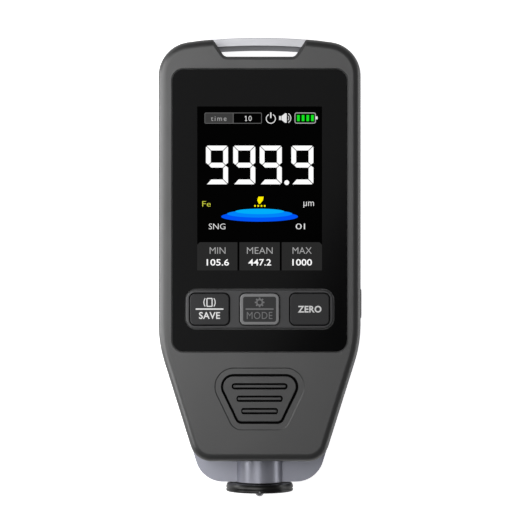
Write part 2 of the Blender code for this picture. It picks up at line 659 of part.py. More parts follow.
def rear_housing():
    """The rear moulding: tray, lanyard bar, probe barrel, battery bay and posts."""
    outer = sides(REAR_MARGIN, REAR_TOP_Y, REAR_BOTTOM_Y, REAR_BOTTOM_RADIUS)
    outer += [(x, top_line(x, REAR_TOP_Y), 0) for x in (0.6 * HALF_WIDTH, 0.3 * HALF_WIDTH)]
    shell = prism("rear_housing", mirrored(outer), 0, REAR_FRONT_Z, BLUE_GREY)
    round_rim(shell, REAR_EDGE_RADIUS, 0, 3)

    grow = REAR_MARGIN - REAR_WALL
    flange_y = FRONT_BOTTOM_Y + SIDE_WALL
    cavity = cavity_corners(grow, flange_y, FRONT_BOTTOM_RADIUS - SIDE_WALL, REAR_TOP_Y, REAR_WALL)
    lower = cavity_corners(
        grow, REAR_BOTTOM_Y + REAR_WALL, REAR_BOTTOM_RADIUS - REAR_WALL, REAR_TOP_Y, REAR_WALL
    )
    cut(shell, prism("rear_cavity", cavity, REAR_WALL, REAR_FRONT_Z + CLEAR))
    cut(shell, prism("rear_lower_cavity", lower, REAR_WALL, REAR_FRONT_Z - FLANGE_THICKNESS))

    bay_block = box(
        "bay_block",
        (-BAY_HALF_WIDTH - BAY_WALL, BAY_LOW_Y - BAY_WALL, REAR_WALL - OVERLAP),
        (BAY_HALF_WIDTH + BAY_WALL, BAY_HIGH_Y + BAY_WALL, CEILING_TOP_Z),
    )
    pocket_high_y = HINGE_Y + TAB_REACH + TAB_ROOM
    tab_block = box(
        "tab_block",
        (-BAY_HALF_WIDTH - BAY_WALL, BAY_HIGH_Y, REAR_WALL - OVERLAP),
        (BAY_HALF_WIDTH + BAY_WALL, pocket_high_y + REAR_WALL / 2, tab_room_z() + REAR_WALL / 2),
    )
    join(shell, bay_block, tab_block)
    for number, (x, y) in enumerate(screw_places(), 1):
        join(shell, rod(f"post_{number}", POST_RADIUS, REAR_WALL - OVERLAP, REAR_FRONT_Z, at=(x, y, 0)))
    post_top = BOARD_LOW_Z - SEAT_GAP
    bay_post_x = BAY_HALF_WIDTH - BAY_POST_INSET
    floor_post_x = HALF_WIDTH - SIDE_WALL - BOARD_MARGIN - FLOOR_POST_INSET
    for number, (x, y, low) in enumerate(
        [
            (bay_post_x, BAY_LOW_Y + LOWER_POST_INSET, CEILING_Z + OVERLAP),
            (-bay_post_x, BAY_LOW_Y + LOWER_POST_INSET, CEILING_Z + OVERLAP),
            (bay_post_x, BAY_HIGH_Y - UPPER_POST_INSET, CEILING_Z + OVERLAP),
            (-bay_post_x, BAY_HIGH_Y - UPPER_POST_INSET, CEILING_Z + OVERLAP),
            (floor_post_x, BOARD_HIGH_Y - UPPER_POST_INSET, REAR_WALL - OVERLAP),
            (-floor_post_x, BOARD_HIGH_Y - UPPER_POST_INSET, REAR_WALL - OVERLAP),
        ],
        1,
    ):
        join(shell, rod(f"board_post_{number}", BOARD_POST_RADIUS, low, post_top, at=(x, y, 0), sides=12))
    barrel = rod(
        "barrel", BARREL_RADIUS, REAR_BOTTOM_Y, BARREL_END_Y, at=(0, 0, PROBE_Z), turn=ALONG_Y, sides=32
    )
    web = box(
        "barrel_web",
        (-REAR_WALL / 2, REAR_BOTTOM_Y + OVERLAP, REAR_WALL - OVERLAP),
        (REAR_WALL / 2, BARREL_END_Y - OVERLAP, PROBE_Z - BARREL_BORE_RADIUS - OVERLAP),
    )
    join(shell, barrel, web)

    bay = box(
        "bay_space",
        (-BAY_HALF_WIDTH, BAY_LOW_Y, -CLEAR),
        (BAY_HALF_WIDTH, BAY_HIGH_Y, CEILING_Z),
    )
    tab_space = box(
        "tab_space",
        (-BAY_HALF_WIDTH, BAY_HIGH_Y + BAY_WALL, REAR_WALL),
        (BAY_HALF_WIDTH, pocket_high_y, tab_room_z()),
    )
    opening = prism("door_opening", door_corners(DOOR_GAP), -CLEAR, REAR_WALL, at=(0, HINGE_Y, 0))
    bore = rod(
        "probe_bore",
        BARREL_BORE_RADIUS,
        REAR_BOTTOM_Y - CLEAR,
        BARREL_INNER_Y,
        at=(0, 0, PROBE_Z),
        turn=ALONG_Y,
        sides=24,
    )
    tail_hole = rod(
        "tail_hole", PROBE_BORE_RADIUS, BARREL_INNER_Y - CLEAR, BARREL_END_Y + CLEAR,
        at=(0, 0, PROBE_Z), turn=ALONG_Y, sides=12,
    )
    cut(shell, bay, tab_space, opening, bore, tail_hole)
    for number, (x, y) in enumerate(screw_places(), 1):
        recess = rod(f"recess_{number}", SCREW_HEAD_RADIUS + SEAT_GAP, -CLEAR, SCREW_RECESS, at=(x, y, 0))
        hole = rod(
            f"screw_hole_{number}", SCREW_RADIUS + SEAT_GAP, SCREW_RECESS - CLEAR, REAR_FRONT_Z + CLEAR,
            at=(x, y, 0), sides=12,
        )
        cut(shell, recess, hole)
    under_bar = [
        (slot_x(NOTCH_Y), NOTCH_Y, NOTCH_RADIUS),
        (slot_x(bar_low_y()), top_line(slot_x(bar_low_y()), bar_low_y()), NOTCH_RADIUS / 3),
        (slot_x(bar_low_y()) / 2, top_line(slot_x(bar_low_y()) / 2, bar_low_y()), 0),
    ]
    cut(shell, prism("lanyard_slot", mirrored(under_bar), -CLEAR, REAR_FRONT_Z + CLEAR))
    ends = [top_line(slot_x(y), y) for y in (bar_low_y(), REAR_TOP_Y)]
    low_half, high_half = [(slot_x(y) - SEAT_GAP, y, 0) for y in ends]
    arch = [(x, top_line(x, bar_low_y()), 0) for x in (0.0, 0.5 * low_half[0])]
    crown = [(x, top_line(x, REAR_TOP_Y), 0) for x in (0.5 * low_half[0], 0.0)]
    strip = arch + [low_half, high_half] + crown
    strip += [(-x, y, radius) for x, y, radius in reversed(strip) if x > 0]
    raised = prism("lanyard_bar", strip, REAR_FRONT_Z - OVERLAP, BAR_FRONT_Z)
    round_rim(raised, BAR_EDGE, BAR_FRONT_Z, 1)
    join(shell, raised)


def bar_low_y():
    """Inner edge of the lanyard bar at its middle."""
    return REAR_TOP_Y - BAR_DEPTH


def slot_x(y):
    """Half width of the lanyard slot at y."""
    return NOTCH_HALF_WIDTH + NOTCH_SLOPE * (y - NOTCH_Y)


def tab_room_z():
    """Top of the space that the battery door's tabs swing in."""
    return HINGE_Z + math.hypot(TAB_REACH, tab_top_z() - HINGE_Z) + TAB_ROOM


def tab_top_z():
    """Top of the tabs, which hook over the housing's rim."""
    return REAR_WALL + SEAT_GAP + TAB_THICKNESS


def door_corners(grow):
    """Outline of the battery door round its hinge axis, grown by a clearance."""
    return rectangle(
        DOOR_HALF_WIDTH + grow, DOOR_LOW_Y - HINGE_Y - grow, HINGE_OVERHANG + grow, DOOR_RADIUS + grow
    )


def battery_door():
    """The door over the cells: a plate with two hinge tabs and a ribbed finger grip."""
    at = (0, HINGE_Y, HINGE_Z)
    low = DOOR_SET_BACK - HINGE_Z
    door = prism("battery_door", door_corners(0), low, low + DOOR_THICKNESS, BLUE_GREY, at)
    for name, side in (("tab_right", 1), ("tab_left", -1)):
        inner = side * TAB_X - TAB_WIDTH / 2
        outer = side * TAB_X + TAB_WIDTH / 2
        neck = box(
            f"{name}_neck",
            (inner, HINGE_OVERHANG - TAB_THICKNESS, low + DOOR_THICKNESS - OVERLAP),
            (outer, HINGE_OVERHANG, tab_top_z() - HINGE_Z),
            at=at,
        )
        hook = box(
            f"{name}_hook",
            (inner + HOOK_INSET, HINGE_OVERHANG - TAB_THICKNESS / 2, REAR_WALL + SEAT_GAP - HINGE_Z),
            (outer - HOOK_INSET, TAB_REACH, tab_top_z() - HINGE_Z - HOOK_SET_BACK),
            at=at,
        )
        join(door, neck, hook)
    for number in range(GRIP_COUNT):
        y = DOOR_LOW_Y - HINGE_Y + GRIP_INSET + number * GRIP_PITCH
        groove = box(
            f"grip_{number + 1}",
            (-GRIP_WIDTH / 2, y, low - CLEAR),
            (GRIP_WIDTH / 2, y + GRIP_GROOVE, low + GRIP_DEPTH),
            at=at,
        )
        cut(door, groove)


def display():
    """Lens, key bezel, display panel and the tray that holds the panel."""
    lens_low = POCKET_Z + SEAT_GAP
    outline = rectangle(LENS_HALF_WIDTH, LENS_LOW_Y, LENS_HIGH_Y, LENS_RADIUS)
    lens = prism("display_lens", outline, lens_low, lens_low + LENS_THICKNESS, LENS_BLACK)
    half_height = BEZEL_HEIGHT / 2 + SEAT_GAP
    opening = rectangle(BEZEL_WIDTH / 2 + SEAT_GAP, -half_height, half_height, BEZEL_RADIUS + SEAT_GAP)
    cut(lens, prism("bezel_opening", opening, lens_low - CLEAR, FRONT_Z + CLEAR, at=(0, KEY_Y, 0)))

    outline = rectangle(BEZEL_WIDTH / 2, -BEZEL_HEIGHT / 2, BEZEL_HEIGHT / 2, BEZEL_RADIUS)
    bezel = prism("key_bezel", outline, lens_low, BEZEL_TOP_Z, BEZEL_GREY, (0, KEY_Y, 0))
    round_rim(bezel, BEZEL_EDGE, BEZEL_TOP_Z)
    for name, x in key_places():
        hole = prism(
            f"{name}_bezel_hole", key_corners(KEY_GAP), lens_low - CLEAR, BEZEL_TOP_Z + CLEAR,
            at=(x, KEY_Y, 0),
        )
        cut(bezel, hole)

    half_width = SCREEN_HALF_WIDTH + PANEL_MARGIN_SIDE
    low_y = SCREEN_LOW_Y - PANEL_MARGIN_LOW
    high_y = SCREEN_HIGH_Y + PANEL_MARGIN_HIGH
    panel_low = PANEL_TOP_Z - PANEL_THICKNESS
    box("lcd_panel", (-half_width, low_y, panel_low), (half_width, high_y, PANEL_TOP_Z), PANEL_GLASS)

    rim = SEAT_GAP + TRAY_WALL
    tray = box(
        "backlight_tray",
        (-half_width - rim, low_y - rim, SWITCH_LOW_Z),
        (half_width + rim, high_y + rim, TRAY_FLOOR_Z + TRAY_LIP),
        WHITE_PLASTIC,
    )
    well = box(
        "tray_well",
        (-half_width - SEAT_GAP, low_y - SEAT_GAP, TRAY_FLOOR_Z),
        (half_width + SEAT_GAP, high_y + SEAT_GAP, TRAY_FLOOR_Z + TRAY_LIP + CLEAR),
    )
    cut(tray, well)


def keys():
    """The three keys, each with the switch under it and the switch's plunger."""
    for name, x in key_places():
        at = (x, KEY_Y, KEY_LOW_Z)
        top = KEY_TOP_Z - KEY_LOW_Z
        cap = prism(name, key_corners(), KEY_FLANGE_THICKNESS / 2, top, KEY_GREY, at)
        round_rim(cap, KEY_EDGE, top)
        join(cap, prism(f"{name}_flange", key_corners(KEY_FLANGE), 0, KEY_FLANGE_THICKNESS, at=at))

        half = SWITCH_SIZE / 2
        base = (x, KEY_Y, SWITCH_LOW_Z)
        outline = rectangle(half, -half, half, SWITCH_RADIUS)
        case = prism(f"{name}_switch", outline, 0, SWITCH_HEIGHT, SWITCH_BLACK, base)
        depth = PLUNGER_REACH + KEY_TRAVEL + SEAT_GAP
        well = rod(
            f"{name}_switch_well",
            PLUNGER_RADIUS + KEY_GAP,
            SWITCH_HEIGHT - depth,
            SWITCH_HEIGHT + CLEAR,
            at=base,
        )
        cut(case, well)
        plunger_top = KEY_LOW_Z - SEAT_GAP
        plunger_low = SWITCH_TOP_Z - PLUNGER_REACH
        rod(
            f"{name}_plunger",
            PLUNGER_RADIUS,
            0,
            plunger_top - plunger_low,
            WHITE_PLASTIC,
            (x, KEY_Y, plunger_low),
        )


def power_button():
    """The side button, its switch on the board's edge and the switch's plunger."""
    at = (POWER_FLANGE_X, POWER_Y, POWER_Z)
    half_height = POWER_HEIGHT / 2
    half_length = POWER_LENGTH / 2
    face_x = HALF_WIDTH + POWER_PROUD - POWER_FLANGE_X
    outline = rectangle(half_height, -half_length, half_length, half_height - POWER_END_INSET)
    button = prism(
        "power_button", outline, -POWER_FLANGE_THICKNESS / 2, face_x, KEY_GREY, at, ALONG_X
    )
    round_rim(button, POWER_PROUD, face_x)
    wide = half_height + POWER_FLANGE
    long = half_length + POWER_FLANGE
    flange_outline = rectangle(wide, -long, long, POWER_FLANGE_RADIUS)
    flange = prism("power_flange", flange_outline, -POWER_FLANGE_THICKNESS, 0, at=at, turn=ALONG_X)
    join(button, flange)

    plunger_high = POWER_FLANGE_X - POWER_FLANGE_THICKNESS - SEAT_GAP
    case_high = plunger_high - POWER_TRAVEL - SEAT_GAP
    case = box(
        "power_switch",
        (case_high - POWER_SWITCH_DEPTH, POWER_Y - POWER_SWITCH_LENGTH / 2, SWITCH_LOW_Z),
        (case_high, POWER_Y + POWER_SWITCH_LENGTH / 2, SWITCH_LOW_Z + POWER_HEIGHT),
        SWITCH_BLACK,
    )
    half = POWER_PLUNGER / 2
    reach = PLUNGER_REACH + POWER_TRAVEL + SEAT_GAP
    well = box(
        "power_switch_well",
        (case_high - reach, POWER_Y - half - KEY_GAP, POWER_Z - half - KEY_GAP),
        (case_high + CLEAR, POWER_Y + half + KEY_GAP, POWER_Z + half + KEY_GAP),
    )
    cut(case, well)
    box(
        "power_plunger",
        (case_high - PLUNGER_REACH, -half, -half),
        (plunger_high, half, half),
        WHITE_PLASTIC,
        (0, POWER_Y, POWER_Z),
    )


def thumb_pad():
    """The pad below the keys, with ribs that stand in slots."""
    low = FRONT_INNER_Z + PAD_FLOOR + SEAT_GAP
    high = low + PAD_THICKNESS
    pad = prism("thumb_pad", pad_corners(-PAD_GROOVE / 2), low, high, PAD_GREY)
    for number in range(RIB_COUNT):
        y = RIB_FIRST_Y - number * RIB_PITCH
        half_length = (RIB_LENGTH - number * RIB_SHORTENING) / 2
        half_slot = RIB_SLOT_WIDTH / 2
        at = (0, y, 0)
        slot = rectangle(half_length, -half_slot, half_slot, RIB_SLOT_RADIUS)
        half_rib = RIB_WIDTH / 2
        inset = half_slot - half_rib
        rib = rectangle(half_length - inset, -half_rib, half_rib, RIB_RADIUS)
        cut(pad, prism(f"rib_slot_{number + 1}", slot, high - RIB_DEPTH, high + CLEAR, at=at))
        join(pad, prism(f"rib_{number + 1}", rib, high - RIB_DEPTH - OVERLAP / 2, high, at=at))


def main_board():
    """The board under the display, with its larger chips, and the buzzer below it."""
    inside = HALF_WIDTH - SIDE_WALL - BOARD_MARGIN
    low_x = taper_x(BOARD_LOW_Y, -SIDE_WALL - BOARD_MARGIN)
    outline = mirrored(
        [
            (low_x, BOARD_LOW_Y, BOARD_RADIUS),
            (inside, bend_y(-SIDE_WALL - BOARD_MARGIN), 0),
            (inside, BOARD_HIGH_Y, BOARD_RADIUS),
        ]
    )
    board = prism("main_board", outline, BOARD_LOW_Z, BOARD_TOP_Z, BOARD_GREEN)
    for name, x, y, half in CHIPS:
        chip = box(
            name,
            (x - half, y - half, BOARD_LOW_Z - CHIP_HEIGHT),
            (x + half, y + half, BOARD_LOW_Z + OVERLAP),
        )
        join(board, chip)
    buzzer_high = BOARD_LOW_Z - SEAT_GAP
    buzzer = rod(
        "buzzer", BUZZER_RADIUS, buzzer_high - BUZZER_HEIGHT, buzzer_high, SWITCH_BLACK,
        (0, BUZZER_Y, 0), sides=24,
    )
    vent = rod(
        "buzzer_vent", BUZZER_VENT_RADIUS, buzzer_high - BUZZER_HEIGHT - CLEAR,
        buzzer_high - BUZZER_HEIGHT / 2, at=(0, BUZZER_Y, 0), sides=12,
    )
    cut(buzzer, vent)


def batteries():
    """Two cells side by side in opposite senses, with their springs and contacts."""
    length = CELL_LENGTH - CELL_NUB_LENGTH
    profile = [
        (0, CELL_LENGTH),
        (CELL_NUB_RADIUS, CELL_LENGTH),
        (CELL_NUB_RADIUS, length),
        (CELL_RADIUS - CELL_EDGE, length),
        (CELL_RADIUS, length - CELL_EDGE),
        (CELL_RADIUS, CELL_EDGE),
        (CELL_RADIUS - CELL_EDGE, 0),
        (0, 0),
    ]
    spring_low = SPRING_WIRE_RADIUS
    spring_high = CELL_SPRING_LENGTH - SPRING_WIRE_RADIUS
    spring_room = CELL_SPRING_LENGTH + SEAT_GAP

    turned("battery_1", profile, CELL_WRAP, (CELL_X, CELL_LOW_Y + spring_room, CELL_Z), ALONG_Y)
    coil(
        "battery_spring_1", SPRING_WIRE_RADIUS, CELL_SPRING_WIDE, CELL_SPRING_NARROW,
        spring_low, spring_high, CELL_SPRING_TURNS, STEEL, (CELL_X, CELL_LOW_Y, CELL_Z), ALONG_Y,
    )
    facing_down = (math.pi / 2, 0, 0)
    turned("battery_2", profile, CELL_WRAP, (-CELL_X, CELL_HIGH_Y - spring_room, CELL_Z), facing_down)
    coil(
        "battery_spring_2", SPRING_WIRE_RADIUS, CELL_SPRING_WIDE, CELL_SPRING_NARROW,
        spring_low, spring_high, CELL_SPRING_TURNS, STEEL, (-CELL_X, CELL_HIGH_Y, CELL_Z), facing_down,
    )

    half = CONTACT_SIZE / 2
    far = CELL_X + half
    low = BAY_LOW_Y + SEAT_GAP
    box("contact_bridge", (-far, low, CELL_Z - half), (far, low + CONTACT_THICKNESS, CELL_Z + half), STEEL)
    high = BAY_HIGH_Y - SEAT_GAP
    for name, side in (("contact_plus", 1), ("contact_minus", -1)):
        x = side * CELL_X
        low_corner = (x - half, high - CONTACT_THICKNESS, CELL_Z - half)
        box(name, low_corner, (x + half, high, CELL_Z + half), STEEL)


def probe():
    """Collar, coil, guide, sprung tip and spring, all on the barrel's axis."""
    spigot_radius = BARREL_BORE_RADIUS - SEAT_GAP
    pocket_radius = spigot_radius - SPIGOT_WALL
    pocket_low = COLLAR_Y + SPIGOT_LENGTH - COIL_LENGTH - 2 * SEAT_GAP
    base = COLLAR_FACE_Y
    rim_middle = (COLLAR_THICKNESS - COLLAR_BEVEL_LENGTH + COLLAR_STEP_DEPTH + COLLAR_FACE_BEVEL) / 2
    collar_profile = [
        (spigot_radius, COLLAR_Y + SPIGOT_LENGTH - base),
        (spigot_radius, COLLAR_THICKNESS),
        (COLLAR_RADIUS - COLLAR_BEVEL_DEPTH, COLLAR_THICKNESS),
        (COLLAR_RADIUS, COLLAR_THICKNESS - COLLAR_BEVEL_LENGTH),
        (COLLAR_RADIUS - COLLAR_RIM_GROOVE, rim_middle),
        (COLLAR_RADIUS, COLLAR_STEP_DEPTH + COLLAR_FACE_BEVEL),
        (COLLAR_RADIUS - COLLAR_FACE_BEVEL, COLLAR_STEP_DEPTH),
        (COLLAR_STEP_RADIUS, COLLAR_STEP_DEPTH),
        (COLLAR_STEP_RADIUS - COLLAR_STEP_DEPTH, 0),
        (PROBE_BORE_RADIUS, 0),
        (PROBE_BORE_RADIUS, pocket_low - base),
        (pocket_radius, pocket_low - base),
        (pocket_radius, COLLAR_Y + SPIGOT_LENGTH - base),
    ]
    at = (0, base, PROBE_Z)
    collar = turned("probe_collar", collar_profile, PROBE_BLACK, at, ALONG_Y, 28, ring=True)
    v_groove = prism(
        "v_groove",
        [(V_GROOVE_DEPTH + CLEAR, -CLEAR, 0), (0, V_GROOVE_DEPTH, 0), (-V_GROOVE_DEPTH - CLEAR, -CLEAR, 0)],
        -COLLAR_RADIUS - CLEAR,
        COLLAR_RADIUS + CLEAR,
        at=at,
    )
    cut(collar, v_groove)

    coil_low = pocket_low + SEAT_GAP
    coil_radius = pocket_radius - SEAT_GAP
    groove_radius = coil_radius - COIL_GROOVE
    coil_profile = [
        (coil_radius, COIL_LENGTH),
        (coil_radius, COIL_LENGTH - COIL_FLANGE),
        (groove_radius, COIL_LENGTH - COIL_FLANGE),
        (groove_radius, COIL_FLANGE),
        (coil_radius, COIL_FLANGE),
        (coil_radius, 0),
        (PROBE_BORE_RADIUS, 0),
        (PROBE_BORE_RADIUS, COIL_LENGTH),
    ]
    turned("probe_coil", coil_profile, COPPER, (0, coil_low, PROBE_Z), ALONG_Y, 20, ring=True)

    guide_profile = [
        (spigot_radius, GUIDE_LENGTH),
        (spigot_radius, 0),
        (PROBE_BORE_RADIUS, 0),
        (PROBE_BORE_RADIUS, GUIDE_LENGTH),
    ]
    turned("probe_guide", guide_profile, STEEL, (0, GUIDE_Y, PROBE_Z), ALONG_Y, 20, ring=True)

    tip_y = COLLAR_FACE_Y - TIP_TRAVEL - TIP_STAND_OUT
    flange_low = TIP_FLANGE_Y - tip_y
    flange_high = flange_low + TIP_FLANGE_THICKNESS
    tail_radius = TIP_TAIL_RADIUS
    dome = [
        (TIP_RADIUS * math.sin(angle), TIP_RADIUS * (1 - math.cos(angle)))
        for angle in (math.pi / 2, math.pi / 3, math.pi / 6, 0)
    ]
    tip_profile = [
        (0, flange_high + TIP_TAIL),
        (tail_radius, flange_high + TIP_TAIL),
        (tail_radius, flange_high),
        (TIP_FLANGE_RADIUS, flange_high),
        (TIP_FLANGE_RADIUS, flange_low),
        (TIP_RADIUS, flange_low),
        *dome,
    ]
    turned("probe_tip", tip_profile, STEEL, (0, tip_y, PROBE_Z), ALONG_Y, 20)

    spring_radius = (TIP_FLANGE_RADIUS + tail_radius + SEAT_GAP) / 2
    spring_high = BARREL_INNER_Y - SEAT_GAP - PROBE_SPRING_Y
    coil(
        "probe_spring", SPRING_WIRE_RADIUS, spring_radius, spring_radius, SPRING_WIRE_RADIUS,
        spring_high - SPRING_WIRE_RADIUS, PROBE_SPRING_TURNS, STEEL, (0, PROBE_SPRING_Y, PROBE_Z), ALONG_Y,
    )


def screws():
    """Four screws that go in from the back."""
    head_high = SCREW_RECESS - SEAT_GAP
    head_low = head_high - SCREW_HEAD_HEIGHT
    profile = [
        (0, head_high + SCREW_LENGTH),
        (SCREW_RADIUS, head_high + SCREW_LENGTH),
        (SCREW_RADIUS, head_high),
        (SCREW_HEAD_RADIUS, head_high),
        (SCREW_HEAD_RADIUS, head_low + SCREW_HEAD_BEVEL),
        (SCREW_HEAD_RADIUS - SCREW_HEAD_BEVEL, head_low),
        (0, head_low),
    ]
    for number, (x, y) in enumerate(screw_places(), 1):
        turned(f"screw_{number}", profile, STEEL, (x, y, 0), sides=14)


front_housing()
rear_housing()
battery_door()
display()
keys()
power_button()
thumb_pad()
main_board()
batteries()
probe()
screws()
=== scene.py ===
# %% [markdown]
# # A coating thickness gauge, lying on its back
# The gauge is a slim two-part moulding. A graphite front carries a black window, three keys
# and a thumb pad. A blue-grey rear carries the lanyard bar at the top and the probe at the
# bottom. This lesson dresses the plain engineering solids of that gauge. Each cell makes one
# piece or one finish, and says first what the real piece is and why it is made this way.

# %% Load the frame
import json
import math

import bmesh
import bpy
from mathutils import Matrix, Vector


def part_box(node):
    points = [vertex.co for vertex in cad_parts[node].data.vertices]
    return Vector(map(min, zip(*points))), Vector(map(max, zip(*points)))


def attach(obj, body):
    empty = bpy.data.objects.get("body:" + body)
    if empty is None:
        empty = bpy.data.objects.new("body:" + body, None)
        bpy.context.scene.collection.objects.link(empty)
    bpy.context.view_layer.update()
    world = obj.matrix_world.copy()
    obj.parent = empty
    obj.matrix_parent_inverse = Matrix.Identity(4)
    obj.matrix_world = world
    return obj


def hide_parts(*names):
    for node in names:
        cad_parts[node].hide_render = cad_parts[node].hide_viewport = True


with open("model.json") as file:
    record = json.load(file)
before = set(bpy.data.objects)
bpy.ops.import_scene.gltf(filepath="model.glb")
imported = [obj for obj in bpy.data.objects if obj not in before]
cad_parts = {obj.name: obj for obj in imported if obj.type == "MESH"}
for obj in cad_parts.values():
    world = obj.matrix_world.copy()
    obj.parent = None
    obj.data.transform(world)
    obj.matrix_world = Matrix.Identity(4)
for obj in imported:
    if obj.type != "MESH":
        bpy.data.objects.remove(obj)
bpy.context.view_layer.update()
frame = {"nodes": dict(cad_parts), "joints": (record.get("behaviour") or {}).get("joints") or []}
MM = 0.001


def corners(node):
    """A node's lowest and highest corners, as two vectors."""
    low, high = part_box(node)
    return Vector(low), Vector(high)


def middle(node):
    """The middle of a node's box."""
    low, high = corners(node)
    return (low + high) / 2


# %% [markdown]
# ## Camera
# The gauge was photographed from straight above with a long lens, so its sides hardly show.
# The camera stands 600 mm over the front face. A 36 mm sensor then needs a lens of about
# 166 mm to take in a field 130 mm wide.

# %% Camera
FRONT_LOW, FRONT_HIGH = corners("front_housing")
FACE_Z = FRONT_HIGH.z
CAMERA_RISE = 600 * MM
FIELD_WIDTH = 130 * MM
AIM = Vector((0.1 * MM, 2.0 * MM))

camera_data = bpy.data.cameras.new("camera")
camera_data.sensor_width = 36
camera_data.lens = camera_data.sensor_width * CAMERA_RISE / FIELD_WIDTH
camera_data.clip_start = 0.01
camera = bpy.data.objects.new("camera", camera_data)
camera.location = (AIM.x, AIM.y, FACE_Z + CAMERA_RISE)
bpy.context.scene.collection.objects.link(camera)
bpy.context.scene.camera = camera
bpy.context.scene.view_settings.view_transform = "Standard"
print("lens:", round(camera_data.lens, 1), "mm")

# %% [markdown]
# ## Node trees as formulas
# A pattern is a formula, and a formula reads best as one. `Wire` wraps a node's output, so that
# `1 - mask` or `height * 0.5` adds the Math nodes by itself. `Sheet` adds any other node, with
# its settings first and then its sockets, each of which takes a value or a wire. Materials, the
# world and Geometry Nodes are all node trees, so the same two classes serve for all three.


# %% Wires and sheets
class Wire:
    """An output of a node that can be added, multiplied and so on."""

    def __init__(self, sheet, socket):
        self.sheet = sheet
        self.socket = socket

    def maths(self, operation, first, second=0.0):
        """A Math node on one or two numbers or wires."""
        return self.sheet.wire("ShaderNodeMath", {"operation": operation}, {0: first, 1: second})

    def __add__(self, other):
        return self.maths("ADD", self, other)

    __radd__ = __add__

    def __sub__(self, other):
        return self.maths("SUBTRACT", self, other)

    def __rsub__(self, other):
        return self.maths("SUBTRACT", other, self)

    def __mul__(self, other):
        return self.maths("MULTIPLY", self, other)

    __rmul__ = __mul__

    def __gt__(self, other):
        return self.maths("GREATER_THAN", self, other)

    def __lt__(self, other):
        return self.maths("LESS_THAN", self, other)

    def __abs__(self):
        return self.maths("ABSOLUTE", self)


class Sheet:
    """A node tree and the nodes on it."""

    def __init__(self, tree):
        self.tree = tree
        tree.nodes.clear()

    def node(self, kind, settings=None, sockets=None):
        """A node with its settings made first, then its sockets set or linked."""
        made = self.tree.nodes.new(kind)
        for key, value in (settings or {}).items():
            setattr(made, key, value)
        for key, value in (sockets or {}).items():
            entry = made.inputs[key]
            if isinstance(value, Wire):
                self.tree.links.new(value.socket, entry)
            elif entry.type == "RGBA":
                entry.default_value = (*value, 1.0)
            else:
                entry.default_value = value
        return made

    def wire(self, kind, settings=None, sockets=None, output=0):
        """The same, but gives one of the node's outputs."""
        return Wire(self, self.node(kind, settings, sockets).outputs[output])


# %% A sheet for materials
class Finish(Sheet):
    """One material, with the nodes that most finishes need."""

    def __init__(self, name):
        self.material = bpy.data.materials.new(name)
        self.material.use_nodes = True
        super().__init__(self.material.node_tree)

    def where(self):
        """The piece's own coordinates, in metres."""
        return self.wire("ShaderNodeTexCoord", output="Object")

    def position(self):
        """The same coordinates as three numbers, x, y and z."""
        split = self.node("ShaderNodeSeparateXYZ", None, {0: self.where()})
        return [Wire(self, output) for output in split.outputs]

    def noise(self, size, detail=2.0, scale=(1, 1, 1)):
        """Noise from 0 to 1 whose patches are about a size across, in metres."""
        place = self.wire("ShaderNodeMapping", None, {"Vector": self.where(), "Scale": scale})
        sockets = {"Vector": place, "Scale": 1 / size, "Detail": detail, "Roughness": 0.5}
        return self.wire("ShaderNodeTexNoise", None, sockets, "Fac")

    def mix(self, share, first, second):
        """A colour between two."""
        sockets = {0: share, 6: first, 7: second}
        return self.wire("ShaderNodeMix", {"data_type": "RGBA"}, sockets, 2)

    def bump(self, height, depth):
        """A normal for a height from 0 to 1 that is a depth in metres."""
        sockets = {"Height": height, "Distance": depth, "Strength": 1.0}
        return self.wire("ShaderNodeBump", None, sockets, "Normal")

    def shown_by(self, shader):
        """The material, with a shader on its output."""
        self.node("ShaderNodeOutputMaterial", None, {"Surface": shader})
        return self.material

    def surface(self, **sockets):
        """The material with a Principled shader, whose sockets go in by name."""
        named = {key.replace("_", " "): value for key, value in sockets.items()}
        return self.shown_by(self.wire("ShaderNodeBsdfPrincipled", None, named))


def shade(colour, factor):
    """A colour made lighter or darker by a factor."""
    return tuple(factor * part for part in colour)


print("a darker grey:", shade((0.5, 0.5, 0.5), 0.5))

# %% [markdown]
# ## Moulded plastics
# Both housings come out of spark-eroded moulds, which leave a grain of about a fifth of a
# millimetre. A flat grey would look like paper, so the finish has that grain as a bump, a
# faint patchiness in its colour, and a roughness that wanders a little where hands have been.
# The narrow grooves round the pad and its ribs hold hardly any light. They could be left to the
# lamps, but a groove of half a millimetre still shines in a render, so their shade is painted
# in: below a height, inside the box that the grooves fill, the finish turns black and metallic.

# %% Plastics
GRAIN = 0.20 * MM
GRAIN_DEPTH = 0.006 * MM
PATCH = 9 * MM


def inside(sheet, low, high, floor_z):
    """1 below a height and between two corners, and 0 elsewhere."""
    x, y, z = sheet.position()
    return (x > low[0]) * (x < high[0]) * (y > low[1]) * (y < high[1]) * (z < floor_z)


def moulded(name, colour, roughness, grain=GRAIN, depth=GRAIN_DEPTH, specular=0.5, metallic=0.0, grooves=()):
    """Grained plastic of one colour, with shade painted black into its grooves."""
    sheet = Finish(name)
    fine = sheet.noise(grain, 3.0)
    patches = sheet.noise(PATCH)
    speckle = sheet.mix(fine, shade(colour, 0.93), shade(colour, 1.06))
    tone = sheet.mix(patches, speckle, colour)
    rough = roughness - 0.04 + 0.08 * patches
    # Painted shade: inside the groove box and below its height the colour turns nearly black, rougher and
    # metallic, so the grooves look unlit.
    if grooves:
        dark = inside(sheet, *grooves)
        tone = sheet.mix(dark, tone, shade(colour, 0.06))
        rough = rough + 0.3 * dark
        metallic = 0.9 * dark
    return sheet.surface(
        Base_Color=tone,
        Roughness=rough,
        Metallic=metallic,
        Specular_IOR_Level=specular,
        Normal=sheet.bump(fine, depth),
    )


